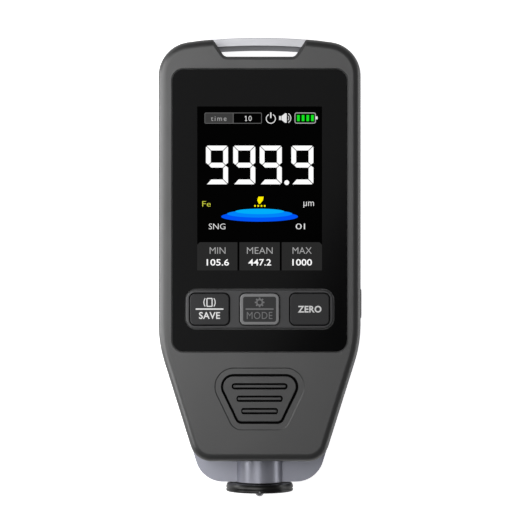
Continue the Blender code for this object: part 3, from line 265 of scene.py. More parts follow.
PAD_LOW, PAD_HIGH = corners("thumb_pad")
AROUND_PAD = Vector((MM, MM))
GRAPHITE = moulded(
    "graphite_moulding",
    (0.0295, 0.0295, 0.0301),
    0.38,
    specular=0.82,
    # painted shade round the pad: the face's finish turns black below 0.35 mm under the face
    grooves=(PAD_LOW.xy - AROUND_PAD, PAD_HIGH.xy + AROUND_PAD, FACE_Z - 0.35 * MM),
)
PAD_GREY = moulded(
    "pad_moulding",
    (0.033, 0.033, 0.0336),
    0.40,
    specular=0.72,
    # painted shade in the rib slots: the pad's finish turns black below 0.3 mm under its top
    grooves=(PAD_LOW, PAD_HIGH, PAD_HIGH.z - 0.3 * MM),
)
BLUE_GREY = moulded("blue_grey_moulding", (0.30, 0.304, 0.352), 0.33, depth=0.003 * MM, metallic=0.2)
BEZEL_GREY = moulded("bezel_moulding", (0.052, 0.052, 0.0545), 0.55, grain=0.12 * MM)
KEY_GREY = moulded("key_rubber", (0.035, 0.035, 0.0365), 0.6, grain=0.15 * MM, specular=0.25)
WHITE_PLASTIC = moulded("white_moulding", (0.72, 0.72, 0.69), 0.5)
SWITCH_BLACK = moulded("switch_moulding", (0.02, 0.02, 0.02), 0.5)
print("plastics:", len(bpy.data.materials))

# %% [markdown]
# ## Outlines with true arcs
# Every flat shape on the gauge is a run of straight edges with round corners. One function
# turns a short list of corners and radii into points, so an outline has only the points that
# its shape needs, and the arcs come from a formula.

# %% Outlines
ARC_STEP = math.radians(4.5)
STRAIGHT = math.radians(0.5)


def rounded(corner_list, step=ARC_STEP):
    """Points through corners (x, y, radius), each rounded by an arc."""
    points = []
    for index, (x, y, radius) in enumerate(corner_list):
        before = corner_list[index - 1]
        after = corner_list[(index + 1) % len(corner_list)]
        inward = math.atan2(before[1] - y, before[0] - x)
        outward = math.atan2(after[1] - y, after[0] - x)
        opening = (outward - inward) % math.tau
        convex = opening > math.pi
        inner = math.tau - opening if convex else opening
        turn = math.pi - inner
        if radius <= 0 or turn < STRAIGHT:
            points.append((x, y))
            continue
        aim = (outward if convex else inward) + inner / 2
        reach = radius / math.sin(inner / 2)
        centre = (x + reach * math.cos(aim), y + reach * math.sin(aim))
        steps = max(3, math.ceil(turn / step))
        for number in range(steps + 1):
            swing = turn * (number / steps - 0.5) * (1 if convex else -1)
            angle = aim + math.pi + swing
            points.append((centre[0] + radius * math.cos(angle), centre[1] + radius * math.sin(angle)))
    return points


def mirrored(half):
    """The whole outline from the corners of its right half, bottom to top."""
    return half + [(-x, y, radius) for x, y, radius in reversed(half)]


def slab(half_width, low, high, radius=0):
    """Corners of a rectangle that is centred on x = 0."""
    return mirrored([(half_width, low, radius), (half_width, high, radius)])


print("a square with round corners:", len(rounded(slab(1, 0, 2, 0.5))), "points")

# %% [markdown]
# ## Solids
# Mouldings are mostly outlines that are pushed straight through, and turned parts are profiles
# spun round an axis. These helpers make both kinds in bmesh, with their place in the mesh, so
# every object stays at the origin and its finish reads one set of coordinates.


# %% Prisms, lofts and boxes
def new_object(name, data):
    """An object at the origin in the scene's own collection."""
    made = bpy.data.objects.new(name, data)
    bpy.context.scene.collection.objects.link(made)
    return made


def placed(name, shape, at=(0, 0, 0), turn=None):
    """A bmesh as an object, turned and moved to its place."""
    if turn is not None:
        bmesh.ops.transform(shape, matrix=turn, verts=shape.verts)
    bmesh.ops.translate(shape, verts=shape.verts, vec=at)
    mesh = bpy.data.meshes.new(name)
    shape.to_mesh(mesh)
    shape.free()
    return new_object(name, mesh)


def prism(name, outline, low, high, at=(0, 0, 0), turn=None):
    """An outline extruded from low to high, turned and then moved to its place."""
    shape = bmesh.new()
    face = shape.faces.new([shape.verts.new((x, y, low)) for x, y in rounded(outline)])
    if face.normal.z > 0:
        face.normal_flip()
    side = bmesh.ops.extrude_face_region(shape, geom=[face])
    top = [item for item in side["geom"] if isinstance(item, bmesh.types.BMVert)]
    bmesh.ops.translate(shape, verts=top, vec=(0, 0, high - low))
    bmesh.ops.recalc_face_normals(shape, faces=shape.faces)
    return placed(name, shape, at, turn)


def loft(name, lower, low, upper, high):
    """A solid between two outlines with as many points as each other."""
    shape = bmesh.new()
    rings = []
    for outline, z in ((lower, low), (upper, high)):
        rings.append([shape.verts.new((x, y, z)) for x, y in rounded(outline)])
    count = len(rings[0])
    for n in range(count):
        m = (n + 1) % count
        shape.faces.new((rings[0][n], rings[0][m], rings[1][m], rings[1][n]))
    shape.faces.new(list(reversed(rings[0])))
    shape.faces.new(rings[1])
    bmesh.ops.recalc_face_normals(shape, faces=shape.faces)
    return placed(name, shape)


def box(name, low, high):
    """A box between two corners."""
    shape = bmesh.new()
    bmesh.ops.create_cube(shape, size=1)
    for vertex in shape.verts:
        vertex.co = [(a + b) / 2 + (b - a) * c for a, b, c in zip(low, high, vertex.co)]
    return placed(name, shape)


# %% Rods and turned solids
ALONG_Y = Matrix.Rotation(-math.pi / 2, 4, "X")
ALONG_X = Matrix.Rotation(math.pi / 2, 4, "Y")
MERGE = 1e-7


def rod(name, radius, low, high, at=(0, 0, 0), turn=None, sides=48):
    """A cylinder from low to high along its own Z."""
    shape = bmesh.new()
    bmesh.ops.create_cone(
        shape, cap_ends=True, segments=sides, radius1=radius, radius2=radius, depth=high - low
    )
    bmesh.ops.translate(shape, verts=shape.verts, vec=(0, 0, (low + high) / 2))
    return placed(name, shape, at, turn)


def lathe(name, profile, at=(0, 0, 0), turn=ALONG_Y, sides=72, ring=False):
    """A turned piece from (radius, height) points, bottom to top up its outer side."""
    shape = bmesh.new()
    line = [shape.verts.new((radius, 0, height)) for radius, height in profile]
    edges = [shape.edges.new(pair) for pair in zip(line, line[1:])]
    if ring:
        edges.append(shape.edges.new((line[-1], line[0])))
    bmesh.ops.spin(
        shape,
        geom=line + edges,
        cent=(0, 0, 0),
        axis=(0, 0, 1),
        angle=math.tau,
        steps=sides,
        use_merge=True,
    )
    bmesh.ops.remove_doubles(shape, verts=shape.verts, dist=MERGE)
    bmesh.ops.recalc_face_normals(shape, faces=shape.faces)
    return placed(name, shape, at, turn)


def dome(radius, height, steps):
    """Profile points of a dome's quarter arc, from the axis outwards."""
    angles = [math.pi / 2 * n / steps for n in range(steps + 1)]
    return [(radius * math.sin(angle), height * (1 - math.cos(angle))) for angle in angles]


# %% [markdown]
# ## From modifiers to a finished piece
# Rims and holes could be cut by hand, but modifiers say plainly what a mould-maker does: round
# this rim, cut these pockets. They are turned into plain mesh before a piece is handed over,
# and weighted normals keep the large flat faces flat beside their small round rims.

# %% Rims, cuts and joins
CRISP = 0.12 * MM  # the rim of a sheet or a strip that was cut cleanly


def soften(piece, width, height, segments=3):
    """Round the rim of a prism at one height."""
    mesh = piece.data
    values = mesh.attributes.new("bevel_weight_edge", "FLOAT", "EDGE").data
    for edge in mesh.edges:
        ends = [mesh.vertices[index].co for index in edge.vertices]
        if all(abs(end.z - height) < MERGE for end in ends):
            values[edge.index].value = 1.0
    bevel = piece.modifiers.new("rim", "BEVEL")
    bevel.width = width
    bevel.segments = segments
    bevel.limit_method = "WEIGHT"
    bevel.use_clamp_overlap = False


def combine(piece, operation, tools):
    """Boolean modifiers for a list of tools, which are hidden until they are removed."""
    for tool in tools:
        step = piece.modifiers.new(tool.name, "BOOLEAN")
        step.operation = operation
        step.object = tool
        tool.hide_render = True
        tool.hide_viewport = True


def evaluated_mesh(piece):
    """A new mesh of what a piece's modifiers or its curve make."""
    graph = bpy.context.evaluated_depsgraph_get()
    return bpy.data.meshes.new_from_object(piece.evaluated_get(graph))


def bake_down(piece):
    """Turn a piece's modifiers into its mesh, and remove the tools they used."""
    tools = {step.object for step in piece.modifiers if step.type == "BOOLEAN"}
    mesh = evaluated_mesh(piece)
    piece.modifiers.clear()
    piece.data = mesh
    for tool in tools:
        bpy.data.objects.remove(tool, do_unlink=True)


def paint(piece, finish):
    """One finish on all of a piece."""
    piece.data.materials.clear()
    piece.data.materials.append(finish)
    for face in piece.data.polygons:
        face.material_index = 0


def hand_over(piece, body, nodes):
    """Attach a finished piece to what it rides on, and hide the nodes that it stands for."""
    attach(piece, body)
    if nodes:
        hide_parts(*nodes)
    print("made", piece.name, len(piece.data.polygons), "faces")
    return piece


def dress(piece, finish, body="housing", nodes=(), sharp=35):
    """Bake a piece down, shade it, finish it and hand it over."""
    bake_down(piece)
    paint(piece, finish)
    piece.data.shade_smooth()
    piece.data.set_sharp_from_angle(angle=math.radians(sharp))
    steady = piece.modifiers.new("steady_normals", "WEIGHTED_NORMAL")
    steady.keep_sharp = True
    bake_down(piece)
    return hand_over(piece, body, nodes)


# %% [markdown]
# ## The body's outline
# Both housings share one outline: an arched top, straight sides and a lower end that tapers by
# 17.4 degrees. The frame gives the width, the ends and the heights, and the values below are
# the radii and angles that a caliper would read. Growing the outline moves every edge out by
# the same distance, which gives the cavities and the rear's small step.

# %% Body outline
GAP = 0.3 * MM  # clearance between parts
HALF_WIDTH = FRONT_HIGH.x
PARTING_Z = FRONT_LOW.z
FRONT_BOTTOM_Y = FRONT_LOW.y
REAR_LOW, REAR_HIGH = corners("rear_housing")
TOP_Y = REAR_HIGH.y - 0.9 * MM
REAR_MARGIN = REAR_HIGH.x - HALF_WIDTH
TOP_ARC_RADIUS = 150 * MM
TOP_CORNER_RADIUS = 8.5 * MM
SHOULDER_RADIUS = 30 * MM
SHOULDER_Y = -18.9 * MM
TAPER = math.tan(math.radians(17.4))
FRONT_BOTTOM_RADIUS = 5.5 * MM
WALL = 2.0 * MM
ARCH_STEPS = 8
EDGE_STEPS = 8


def top_line(x, top_y):
    """Height of the arched top edge at x."""
    return top_y - x * x / (2 * TOP_ARC_RADIUS)


def taper_x(y, grow=0.0):
    """Half width of the tapered sides at y, with the outline grown."""
    return HALF_WIDTH - (SHOULDER_Y - y) * TAPER + grow * math.hypot(1, TAPER)


def body_sides(grow, top_y, bottom_y, bottom_radius):
    """Corners of the body's right side, from the bottom to the top corner."""
    half_width = HALF_WIDTH + grow
    bend_y = SHOULDER_Y + (half_width - taper_x(SHOULDER_Y, grow)) / TAPER
    return [
        (taper_x(bottom_y, grow), bottom_y, bottom_radius),
        (half_width, bend_y, SHOULDER_RADIUS + grow),
        (half_width, top_line(half_width, top_y), TOP_CORNER_RADIUS + grow),
    ]


def arch_points(high_x, top_y, count=ARCH_STEPS):
    """Points along the right half of the arched top edge, from high x inwards."""
    spots = [high_x - high_x * number / count for number in range(1, count)]
    return [(x, top_line(x, top_y), 0) for x in spots]


FRONT_SIDES = body_sides(0, TOP_Y, FRONT_BOTTOM_Y, FRONT_BOTTOM_RADIUS)
print("outline:", len(rounded(mirrored(FRONT_SIDES))), "points")

# %% [markdown]
# ## The lanyard notch
# The notch has slanted side walls, so one slope gives its width at every height. Both housings
# are hollow, and their walls go round the notch at the same thickness. An outline that is grown
# by a distance needs its slanted walls moved by that distance square to them, which is what the
# `hypot` terms do.

# %% Notch and cavity
NOTCH_Y = 52.9 * MM
NOTCH_HALF = 8.8 * MM
NOTCH_TOP_HALF = 11.8 * MM
NOTCH_RADIUS = 1.5 * MM
NOTCH_SLOPE = (NOTCH_TOP_HALF - NOTCH_HALF) / (top_line(NOTCH_TOP_HALF, TOP_Y) - NOTCH_Y)
REACH = 1 * MM  # how far a cutter goes past what it cuts


def notch_wall(top_y, wall):
    """Corners of the notch's right side, a wall's thickness outside it."""
    aside = wall * math.hypot(1, NOTCH_SLOPE) - NOTCH_SLOPE * wall
    top_x = NOTCH_TOP_HALF + aside
    return [
        (top_x, top_line(top_x, top_y), NOTCH_RADIUS / 4),
        (NOTCH_HALF + aside, NOTCH_Y - wall, NOTCH_RADIUS + wall),
    ]


def cavity(grow, bottom_y, bottom_radius, top_y):
    """Inside of a housing: its walls go round the notch too."""
    top_y = top_y - WALL
    return mirrored(body_sides(grow, top_y, bottom_y, bottom_radius) + notch_wall(top_y, WALL))


def notch_space(grow):
    """Outline of the space that the notch takes, grown."""
    top_y = TOP_Y + 2 * REACH
    aside = grow * math.hypot(1, NOTCH_SLOPE)
    low_half = NOTCH_HALF + aside - NOTCH_SLOPE * grow
    top_half = NOTCH_HALF + NOTCH_SLOPE * (top_y - NOTCH_Y) + aside
    return mirrored([(low_half, NOTCH_Y - grow, NOTCH_RADIUS + grow), (top_half, top_y, 0)])


print("notch walls slant by", round(math.degrees(math.atan(NOTCH_SLOPE)), 1), "degrees")

# %% [markdown]
# ## Places that the front housing needs
# A moulding is drawn round the parts that it holds. The frame gives each part's box, and the
# values here add only what a box can't tell: corner radii, the width of the pad's groove, and
# the flanges that hold the keys and the button in from behind.

# %% Keys, window, pad and power button
KEYS = ("save_key", "mode_key", "zero_key")
KEY_Y = middle("mode_key").y
KEY_LOW, KEY_HIGH = corners("mode_key")
KEY_FLANGE = 0.7 * MM
KEY_HALF = (KEY_HIGH - KEY_LOW) / 2 - Vector((KEY_FLANGE, KEY_FLANGE, 0))
KEY_FLANGE_THICKNESS = 1.0 * MM
KEY_RADIUS = 1.3 * MM
KEY_RIM = 0.25 * MM
LENS_LOW, LENS_HIGH = corners("display_lens")
LENS_RADIUS = 2.9 * MM
SCREEN_HALF = 15.6 * MM
SCREEN_LOW_Y = -0.6 * MM
SCREEN_HIGH_Y = 40.4 * MM
POWER_LOW, POWER_HIGH = corners("power_button")
POWER_FLANGE = 0.8 * MM
POWER_FLANGE_THICKNESS = 0.7 * MM
POWER_RIM = 0.3 * MM
POWER_HALF_LENGTH = (POWER_HIGH.y - POWER_LOW.y) / 2 - POWER_FLANGE
POWER_HALF_HEIGHT = (POWER_HIGH.z - POWER_LOW.z) / 2 - POWER_FLANGE
PAD_RADII = (1.4 * MM, 2.9 * MM)
PAD_TOP_HALF = 11.1 * MM
PAD_BOTTOM_HALF = 5.4 * MM
PAD_GROOVE = 0.6 * MM


def key_outline(grow=0.0):
    """Outline of a key's cap round its own middle."""
    return slab(KEY_HALF.x + grow, -KEY_HALF.y - grow, KEY_HALF.y + grow, KEY_RADIUS + grow)


def key_prism(key, part, grow, low, high):
    """A key-shaped solid at a key's place."""
    return prism(f"{key}_{part}", key_outline(grow), low, high, (middle(key).x, KEY_Y, 0))


def lens_outline(grow=0.0):
    """Outline of the window."""
    return slab(LENS_HIGH.x + grow, LENS_LOW.y - grow, LENS_HIGH.y + grow, LENS_RADIUS + grow)


def power_outline(grow=0.0):
    """Outline of the power button round its own middle, lying along Y."""
    long = POWER_HALF_LENGTH + grow
    return slab(POWER_HALF_HEIGHT + grow, -long, long, POWER_HALF_HEIGHT * 0.98)


def pad_outline(grow):
    """Outline of the thumb pad, grown past the middle of its groove."""
    top_y = PAD_HIGH.y + PAD_GROOVE / 2
    bottom_y = PAD_LOW.y - PAD_GROOVE / 2
    slope = (PAD_TOP_HALF - PAD_BOTTOM_HALF) / (top_y - bottom_y)
    aside = grow * math.hypot(1, slope)
    low_half = PAD_BOTTOM_HALF - slope * grow + aside
    top_half = PAD_TOP_HALF + slope * grow + aside
    return mirrored(
        [
            (low_half, bottom_y - grow, PAD_RADII[0] + grow),
            (top_half, top_y + grow, PAD_RADII[1] + grow),
        ]
    )


print("a key's cap:", [round(2 * side / MM, 1) for side in KEY_HALF.xy], "mm")

# %% [markdown]
# ## The front housing
# The front is a shell about two millimetres thick with a generous radius round its face, a
# pocket for the window, a shallow dish for the thumb pad and a notch for the lanyard bar. It
# is cut the way the mould is cut: an extruded outline, one rounded rim, then the notch and
# the pockets. Inside stand four bosses, which the case screws bite into, and six tongues that
# slide behind the rear housing's walls.

# %% Inside of the front housing
INNER_Z = FACE_Z - 2.4 * MM
SCREW_NODES = ("screw_1", "screw_2", "screw_3", "screw_4")
SCREWS = [middle(node) for node in SCREW_NODES]
BOSS_RADIUS = 2.6 * MM
SCREW_HOLE = 1.4 * MM
THREAD_TOP_Z = INNER_Z - 1.5 * MM
TONGUE_YS = (38 * MM, 18 * MM, -5 * MM)
TONGUE_HALF = 3 * MM
TONGUE_THICKNESS = 0.8 * MM
TONGUE_HEIGHTS = (PARTING_Z - 1.2 * MM, PARTING_Z + 2 * MM)


def at_screws(name, radius, low, high, sides=48):
    """One rod at each screw's place."""
    return [
        rod(f"{name}_{number}", radius, low, high, (spot.x, spot.y, 0), None, sides)
        for number, spot in enumerate(SCREWS)
    ]


def locating_tongues():
    """Six tongues that reach into the rear housing and keep the halves in line."""
    outer = HALF_WIDTH + REAR_MARGIN - WALL - GAP
    tongues = []
    for y in TONGUE_YS:
        for side in (1, -1):
            near, far = sorted((side * outer, side * (outer - TONGUE_THICKNESS)))
            low = (near, y - TONGUE_HALF, TONGUE_HEIGHTS[0])
            high = (far, y + TONGUE_HALF, TONGUE_HEIGHTS[1])
            tongues.append(box(f"tongue_{len(tongues)}", low, high))
    return tongues


print("screws at:", [tuple(round(part / MM, 1) for part in spot.xy) for spot in SCREWS], "mm")

# %% [markdown]
# A pocket that only needs straight walls is an extruded outline. The notch's edge and the dish
# have slanted walls, so their cutters are lofts between two outlines of the same number of
# points. The dish is only a tenth of a millimetre deep, and shows as a fine line in the light.

# %% Cuts in the front housing
POCKET_Z = LENS_LOW.z - GAP
NOTCH_CHAMFER = 0.8 * MM
DISH_MARGIN = 1.9 * MM
DISH_SLOPE = 0.26 * MM
DISH_DEPTH = 0.11 * MM
PROBE_AXIS = middle("probe_tip")
PROBE_Z = PROBE_AXIS.z
BARREL_RADIUS = 5.9 * MM
BARREL_END_Y = -39.5 * MM
ON_AXIS = (0, 0, PROBE_Z)
OVER_FACE = FACE_Z + REACH


def notch_cuts():
    """The lanyard notch and the flare that chamfers its edge."""
    flare = notch_space(NOTCH_CHAMFER + REACH)
    return [
        prism("notch", notch_space(0), PARTING_Z - REACH, OVER_FACE),
        loft("notch_flare", notch_space(0), FACE_Z - NOTCH_CHAMFER, flare, OVER_FACE),
    ]


def window_cuts():
    """The window's pocket, and the opening that the display shows through."""
    opening = slab(SCREEN_HALF + REACH, SCREEN_LOW_Y - REACH, SCREEN_HIGH_Y + REACH)
    return [
        prism("lens_pocket", lens_outline(GAP), POCKET_Z, OVER_FACE),
        prism("screen_window", opening, INNER_Z - REACH, POCKET_Z + REACH),
    ]


def wall_cuts():
    """The arch over the probe's barrel and the power button's hole."""
    low, high = FRONT_BOTTOM_Y - REACH, BARREL_END_Y
    inner, outer = HALF_WIDTH - WALL - REACH, HALF_WIDTH + REACH
    at = (0, *middle("power_plunger").yz)
    return [
        rod("arch", BARREL_RADIUS + GAP, low, high, ON_AXIS, ALONG_Y, 96),
        prism("power_hole", power_outline(GAP), inner, outer, at, ALONG_X),
    ]


def pad_cuts():
    """The shallow dish round the thumb pad, and the pad's pocket."""
    rise = DISH_SLOPE * (REACH / DISH_DEPTH)
    floor, rim = pad_outline(DISH_MARGIN - DISH_SLOPE), pad_outline(DISH_MARGIN + rise)
    return [
        loft("dish", floor, FACE_Z - DISH_DEPTH, rim, OVER_FACE),
        prism("pad_pocket", pad_outline(PAD_GROOVE / 2), PAD_LOW.z - GAP, OVER_FACE),
    ]


print("dish:", round(DISH_DEPTH / MM, 2), "mm deep")

# %% Front housing
FRONT_EDGE_RADIUS = 2.1 * MM


def front_housing():
    """The graphite front moulding."""
    outline = FRONT_SIDES + arch_points(HALF_WIDTH - TOP_CORNER_RADIUS, TOP_Y)
    piece = prism("front_shell", mirrored(outline), PARTING_Z, FACE_Z)
    soften(piece, FRONT_EDGE_RADIUS, FACE_Z, EDGE_STEPS)
    inner = cavity(-WALL, FRONT_BOTTOM_Y + WALL, FRONT_BOTTOM_RADIUS - WALL, TOP_Y)
    combine(piece, "DIFFERENCE", [prism("front_hollow", inner, PARTING_Z - REACH, INNER_Z)])
    bosses = at_screws("boss", BOSS_RADIUS, PARTING_Z, INNER_Z + REACH / 2)
    combine(piece, "UNION", bosses + locating_tongues())
    threads = at_screws("thread", SCREW_HOLE, PARTING_Z - REACH, THREAD_TOP_Z)
    key_holes = [key_prism(key, "hole", GAP, INNER_Z - REACH, POCKET_Z + REACH) for key in KEYS]
    cuts = threads + notch_cuts() + window_cuts() + wall_cuts() + pad_cuts() + key_holes
    combine(piece, "DIFFERENCE", cuts)
    return dress(piece, GRAPHITE, nodes=["front_housing"], sharp=20)


front_housing()

# %% [markdown]
# ## The rear's paint
# The rear housing has a blue-grey paint with metal flakes. The flakes are small spots of two
# tones with a slight bump, and the paint is partly metallic, so that it takes on the colour of
# its surroundings. The bar's front face is smoother and brighter. One finish serves both, with
# the bar found by its place, because the bar is one piece with the housing.

# %% Rear paint
REAR_FRONT_Z = PARTING_Z - GAP
BAR_DEPTH = 2.1 * MM
BAR_LOW_Y = REAR_HIGH.y - BAR_DEPTH


def rear_paint():
    """Metal-effect paint, brighter on the raised part of the lanyard bar."""
    sheet = Finish("metal_effect_paint")
    flakes = sheet.noise(0.06 * MM, 1.0)
    patches = sheet.noise(PATCH)
    _, y, z = sheet.position()
    on_bar = (y > BAR_LOW_Y - 2 * MM) * (z > REAR_FRONT_Z + MM)
    plain = sheet.mix(flakes, (0.33, 0.336, 0.394), (0.405, 0.412, 0.478))
    return sheet.surface(
        Base_Color=sheet.mix(on_bar, plain, (0.585, 0.587, 0.615)),
        Roughness=0.30 + 0.06 * patches + 0.12 * on_bar,
        Metallic=0.4 + 0.5 * on_bar,
        Normal=sheet.bump(flakes, 0.002 * MM),
    )


REAR_PAINT = rear_paint()
print("paint:", REAR_PAINT.name)

# %% [markdown]
# ## The battery bay
# The bay is a box of walls round the two cells, with a ceiling that carries the circuit board on
# posts. It is made the way it is moulded: a block is added to the tray's floor, and the space
# for the cells is cut out of it from below, together with the door's opening.

# %% Battery bay and board posts
HINGE = Vector(next(joint for joint in frame["joints"] if joint["name"] == "battery_door_hinge")["pos_m"])
DOOR_LOW, DOOR_HIGH = corners("battery_door")
DOOR_END_Y = HINGE.y + 0.35 * MM
DOOR_RADIUS = 1.5 * MM
BAY_HALF = DOOR_HIGH.x - 1.0 * MM
BAY_WALL = 1.8 * MM
BAY_YS = (DOOR_LOW.y + 1.0 * MM, HINGE.y - 3.0 * MM - BAY_WALL)
CEILING_Z = corners("battery_1")[1].z + GAP
CEILING_TOP_Z = CEILING_Z + 1.15 * MM
BOARD_LOW, BOARD_HIGH = corners("main_board")
TAB_ROOM_Z = 4.93 * MM
TAB_ROOM_Y = HINGE.y + 2.8 * MM
BOARD_POST_RADIUS = 1.6 * MM
BOARD_POST_TOP_Z = BOARD_LOW.z + 1.2 * MM - GAP
ROOT = REACH / 2  # how deep an added block starts inside what it stands on


def door_outline(grow=0.0):
    """Outline of the battery door's plate."""
    return slab(DOOR_HIGH.x + grow, DOOR_LOW.y - grow, DOOR_END_Y + grow, DOOR_RADIUS + grow)


def battery_bay():
    """Blocks that are added for the bay, and the spaces that are cut from them."""
    side = BAY_HALF + BAY_WALL
    low_y, high_y = BAY_YS
    floor = WALL - ROOT
    tab_block = (side, TAB_ROOM_Y + WALL / 2, TAB_ROOM_Z + WALL / 2)
    added = [
        box("bay_block", (-side, low_y - BAY_WALL, floor), (side, high_y + BAY_WALL, CEILING_TOP_Z)),
        box("tab_block", (-side, high_y, floor), tab_block),
    ]
    tab_space = (BAY_HALF, TAB_ROOM_Y, TAB_ROOM_Z)
    removed = [
        box("bay_space", (-BAY_HALF, low_y, -REACH), (BAY_HALF, high_y, CEILING_Z)),
        box("tab_space", (-BAY_HALF, high_y + BAY_WALL, WALL), tab_space),
        prism("door_opening", door_outline(GAP), -REACH, WALL),
    ]
    return added, removed


def board_posts():
    """Posts that carry the board: four on the bay's ceiling and two on the floor."""
    bay_x, bay_ys = BAY_HALF - 2 * MM, (BAY_YS[0] + 6 * MM, BAY_YS[1] - 4 * MM)
    floor_x, floor_y = BOARD_HIGH.x - 6.6 * MM, BOARD_HIGH.y - 4 * MM
    spots = [(side * bay_x, y, CEILING_Z) for side in (1, -1) for y in bay_ys]
    spots += [(side * floor_x, floor_y, WALL - REACH) for side in (1, -1)]
    return [
        rod(f"board_post_{number}", BOARD_POST_RADIUS, low + ROOT, BOARD_POST_TOP_Z, (x, y, 0), None, 24)
        for number, (x, y, low) in enumerate(spots)
    ]


print("bay:", round(2 * BAY_HALF / MM, 1), "x", round((BAY_YS[1] - BAY_YS[0]) / MM, 1), "mm")

# %% [markdown]
# ## The lanyard bar
# A strip of the rear housing bridges the notch and rises to the front, and a slot behind it lets
# a cord pass. The strip follows the arched top, so its edges come from the same arc formula as
# the outline, and it ends a hair before the notch's slanted walls.

# %% Lanyard bar and its slot
BAR_FRONT_Z = 15.0 * MM


def slot_half(y):
    """Half width of the lanyard slot at y."""
    return NOTCH_HALF + NOTCH_SLOPE * (y - NOTCH_Y)


def lanyard_bar():
    """The strip of the bar that rises in front of the parting line."""
    strip = []
    for top_y, sense in ((BAR_LOW_Y, 1), (REAR_HIGH.y, -1)):
        end_y = top_line(slot_half(top_y), top_y)
        half = slot_half(end_y) - GAP
        xs = [sense * half * share / 4 for share in range(-4, 5)]
        strip += [(x, top_line(x, top_y), 0) for x in xs]
    bar = prism("bar_strip", strip, REAR_FRONT_Z - ROOT, BAR_FRONT_Z)
    soften(bar, CRISP, BAR_FRONT_Z)
    return bar


def lanyard_slot():
    """The slot behind the bar."""
    top_half = slot_half(BAR_LOW_Y)
    side = [
        (slot_half(NOTCH_Y), NOTCH_Y, NOTCH_RADIUS),
        (top_half, top_line(top_half, BAR_LOW_Y), NOTCH_RADIUS / 3),
    ]
    outline = mirrored(side + arch_points(top_half, BAR_LOW_Y, 6))
    return prism("lanyard_slot", outline, -REACH, REAR_FRONT_Z + REACH)


print("slot:", round(2 * slot_half(NOTCH_Y) / MM, 1), "mm wide at its foot")

# %% [markdown]
# ## The rear housing
# The rear is the deeper tray. The probe's barrel swells out of the flat foot below the front
# housing, and the bay stands inside with the posts for the screws and the board. Every inner
# wall is made too, because the open battery door shows them. The order matters: the tray is
# hollowed first, then everything that stands in it is added, and the holes come last, so that
# they go through all of it.

# %% Rear housing
REAR_BOTTOM_RADIUS = 7.2 * MM
REAR_EDGE_RADIUS = 3.0 * MM
REAR_ARCH_HALF = 0.66 * HALF_WIDTH
POST_RADIUS = 3.3 * MM
RECESS_RADIUS = 2.8 * MM
RECESS_TOP_Z = 3.0 * MM
BORE_RADIUS = 4.3 * MM
BORE_END_Y = BARREL_END_Y - 1.0 * MM
TIP_BORE = 1.45 * MM


def rear_hollows():
    """The tray's hollow, and the lower one in the foot, under the front housing's wall."""
    grow = REAR_MARGIN - WALL
    upper = cavity(grow, FRONT_BOTTOM_Y + WALL, FRONT_BOTTOM_RADIUS - WALL, REAR_HIGH.y)
    lower = cavity(grow, REAR_LOW.y + WALL, REAR_BOTTOM_RADIUS - WALL, REAR_HIGH.y)
    return [
        prism("rear_hollow", upper, WALL, REAR_FRONT_Z + REACH),
        prism("rear_foot_hollow", lower, WALL, REAR_FRONT_Z - WALL),
    ]


def barrel_parts():
    """The probe's barrel and the web that carries it."""
    web_low = (-WALL / 2, REAR_LOW.y + ROOT, WALL - ROOT)
    web_high = (WALL / 2, BARREL_END_Y - ROOT, PROBE_Z - BORE_RADIUS - ROOT)
    return [
        rod("barrel", BARREL_RADIUS, REAR_LOW.y, BARREL_END_Y, ON_AXIS, ALONG_Y, 96),
        box("barrel_web", web_low, web_high),
    ]


def rear_housing():
    """The blue-grey rear moulding."""
    outline = body_sides(REAR_MARGIN, REAR_HIGH.y, REAR_LOW.y, REAR_BOTTOM_RADIUS)
    outline += arch_points(REAR_ARCH_HALF, REAR_HIGH.y)
    piece = prism("rear_shell", mirrored(outline), 0, REAR_FRONT_Z)
    soften(piece, REAR_EDGE_RADIUS, 0, EDGE_STEPS)
    combine(piece, "DIFFERENCE", rear_hollows())
    bay_added, bay_removed = battery_bay()
    posts = at_screws("post", POST_RADIUS, WALL - ROOT, REAR_FRONT_Z)
    combine(piece, "UNION", bay_added + posts + board_posts() + barrel_parts())
    recesses = at_screws("recess", RECESS_RADIUS, -REACH, RECESS_TOP_Z)
    screw_holes = at_screws("screw_hole", SCREW_HOLE, RECESS_TOP_Z - REACH, REAR_FRONT_Z + REACH, 32)
    holes = [hole for pair in zip(recesses, screw_holes) for hole in pair]
    holes += [
        rod("probe_bore", BORE_RADIUS, REAR_LOW.y - REACH, BORE_END_Y, ON_AXIS, ALONG_Y, 64),
        rod("tail_hole", TIP_BORE, BORE_END_Y - REACH, BARREL_END_Y + REACH, ON_AXIS, ALONG_Y, 32),
        lanyard_slot(),
    ]
    combine(piece, "DIFFERENCE", bay_removed + holes)
    combine(piece, "UNION", [lanyard_bar()])
    return dress(piece, REAR_PAINT, nodes=["rear_housing"])


rear_housing()

# %% [markdown]
# ## Window and bezel
# The window is a black-printed sheet with a hard coat, so it is smooth and dark with only a
# weak reflection. One sheet covers the display and surrounds the keys, with a hole for the key
# bezel. The bezel stands a little proud and has a soft rim, because a finger slides over it.

# %% Window and bezel
BEZEL_LOW, BEZEL_HIGH = corners("key_bezel")
BEZEL_HALF = (BEZEL_HIGH - BEZEL_LOW) / 2
BEZEL_RADIUS = 2.6 * MM
BEZEL_RIM = 0.4 * MM


def window_black(name, colour, specular):
    """The printed back of the window under its hard coat."""
    sheet = Finish(name)
    haze = sheet.noise(14 * MM)
    return sheet.surface(Base_Color=colour, Roughness=0.10 + 0.05 * haze, Specular_IOR_Level=specular)


def bezel_prism(name, grow, low, high):
    """A solid with the bezel's outline, grown, at the bezel's place."""
    half = BEZEL_HALF
    outline = slab(half.x + grow, -half.y - grow, half.y + grow, BEZEL_RADIUS + grow)
    return prism(name, outline, low, high, (0, KEY_Y, 0))


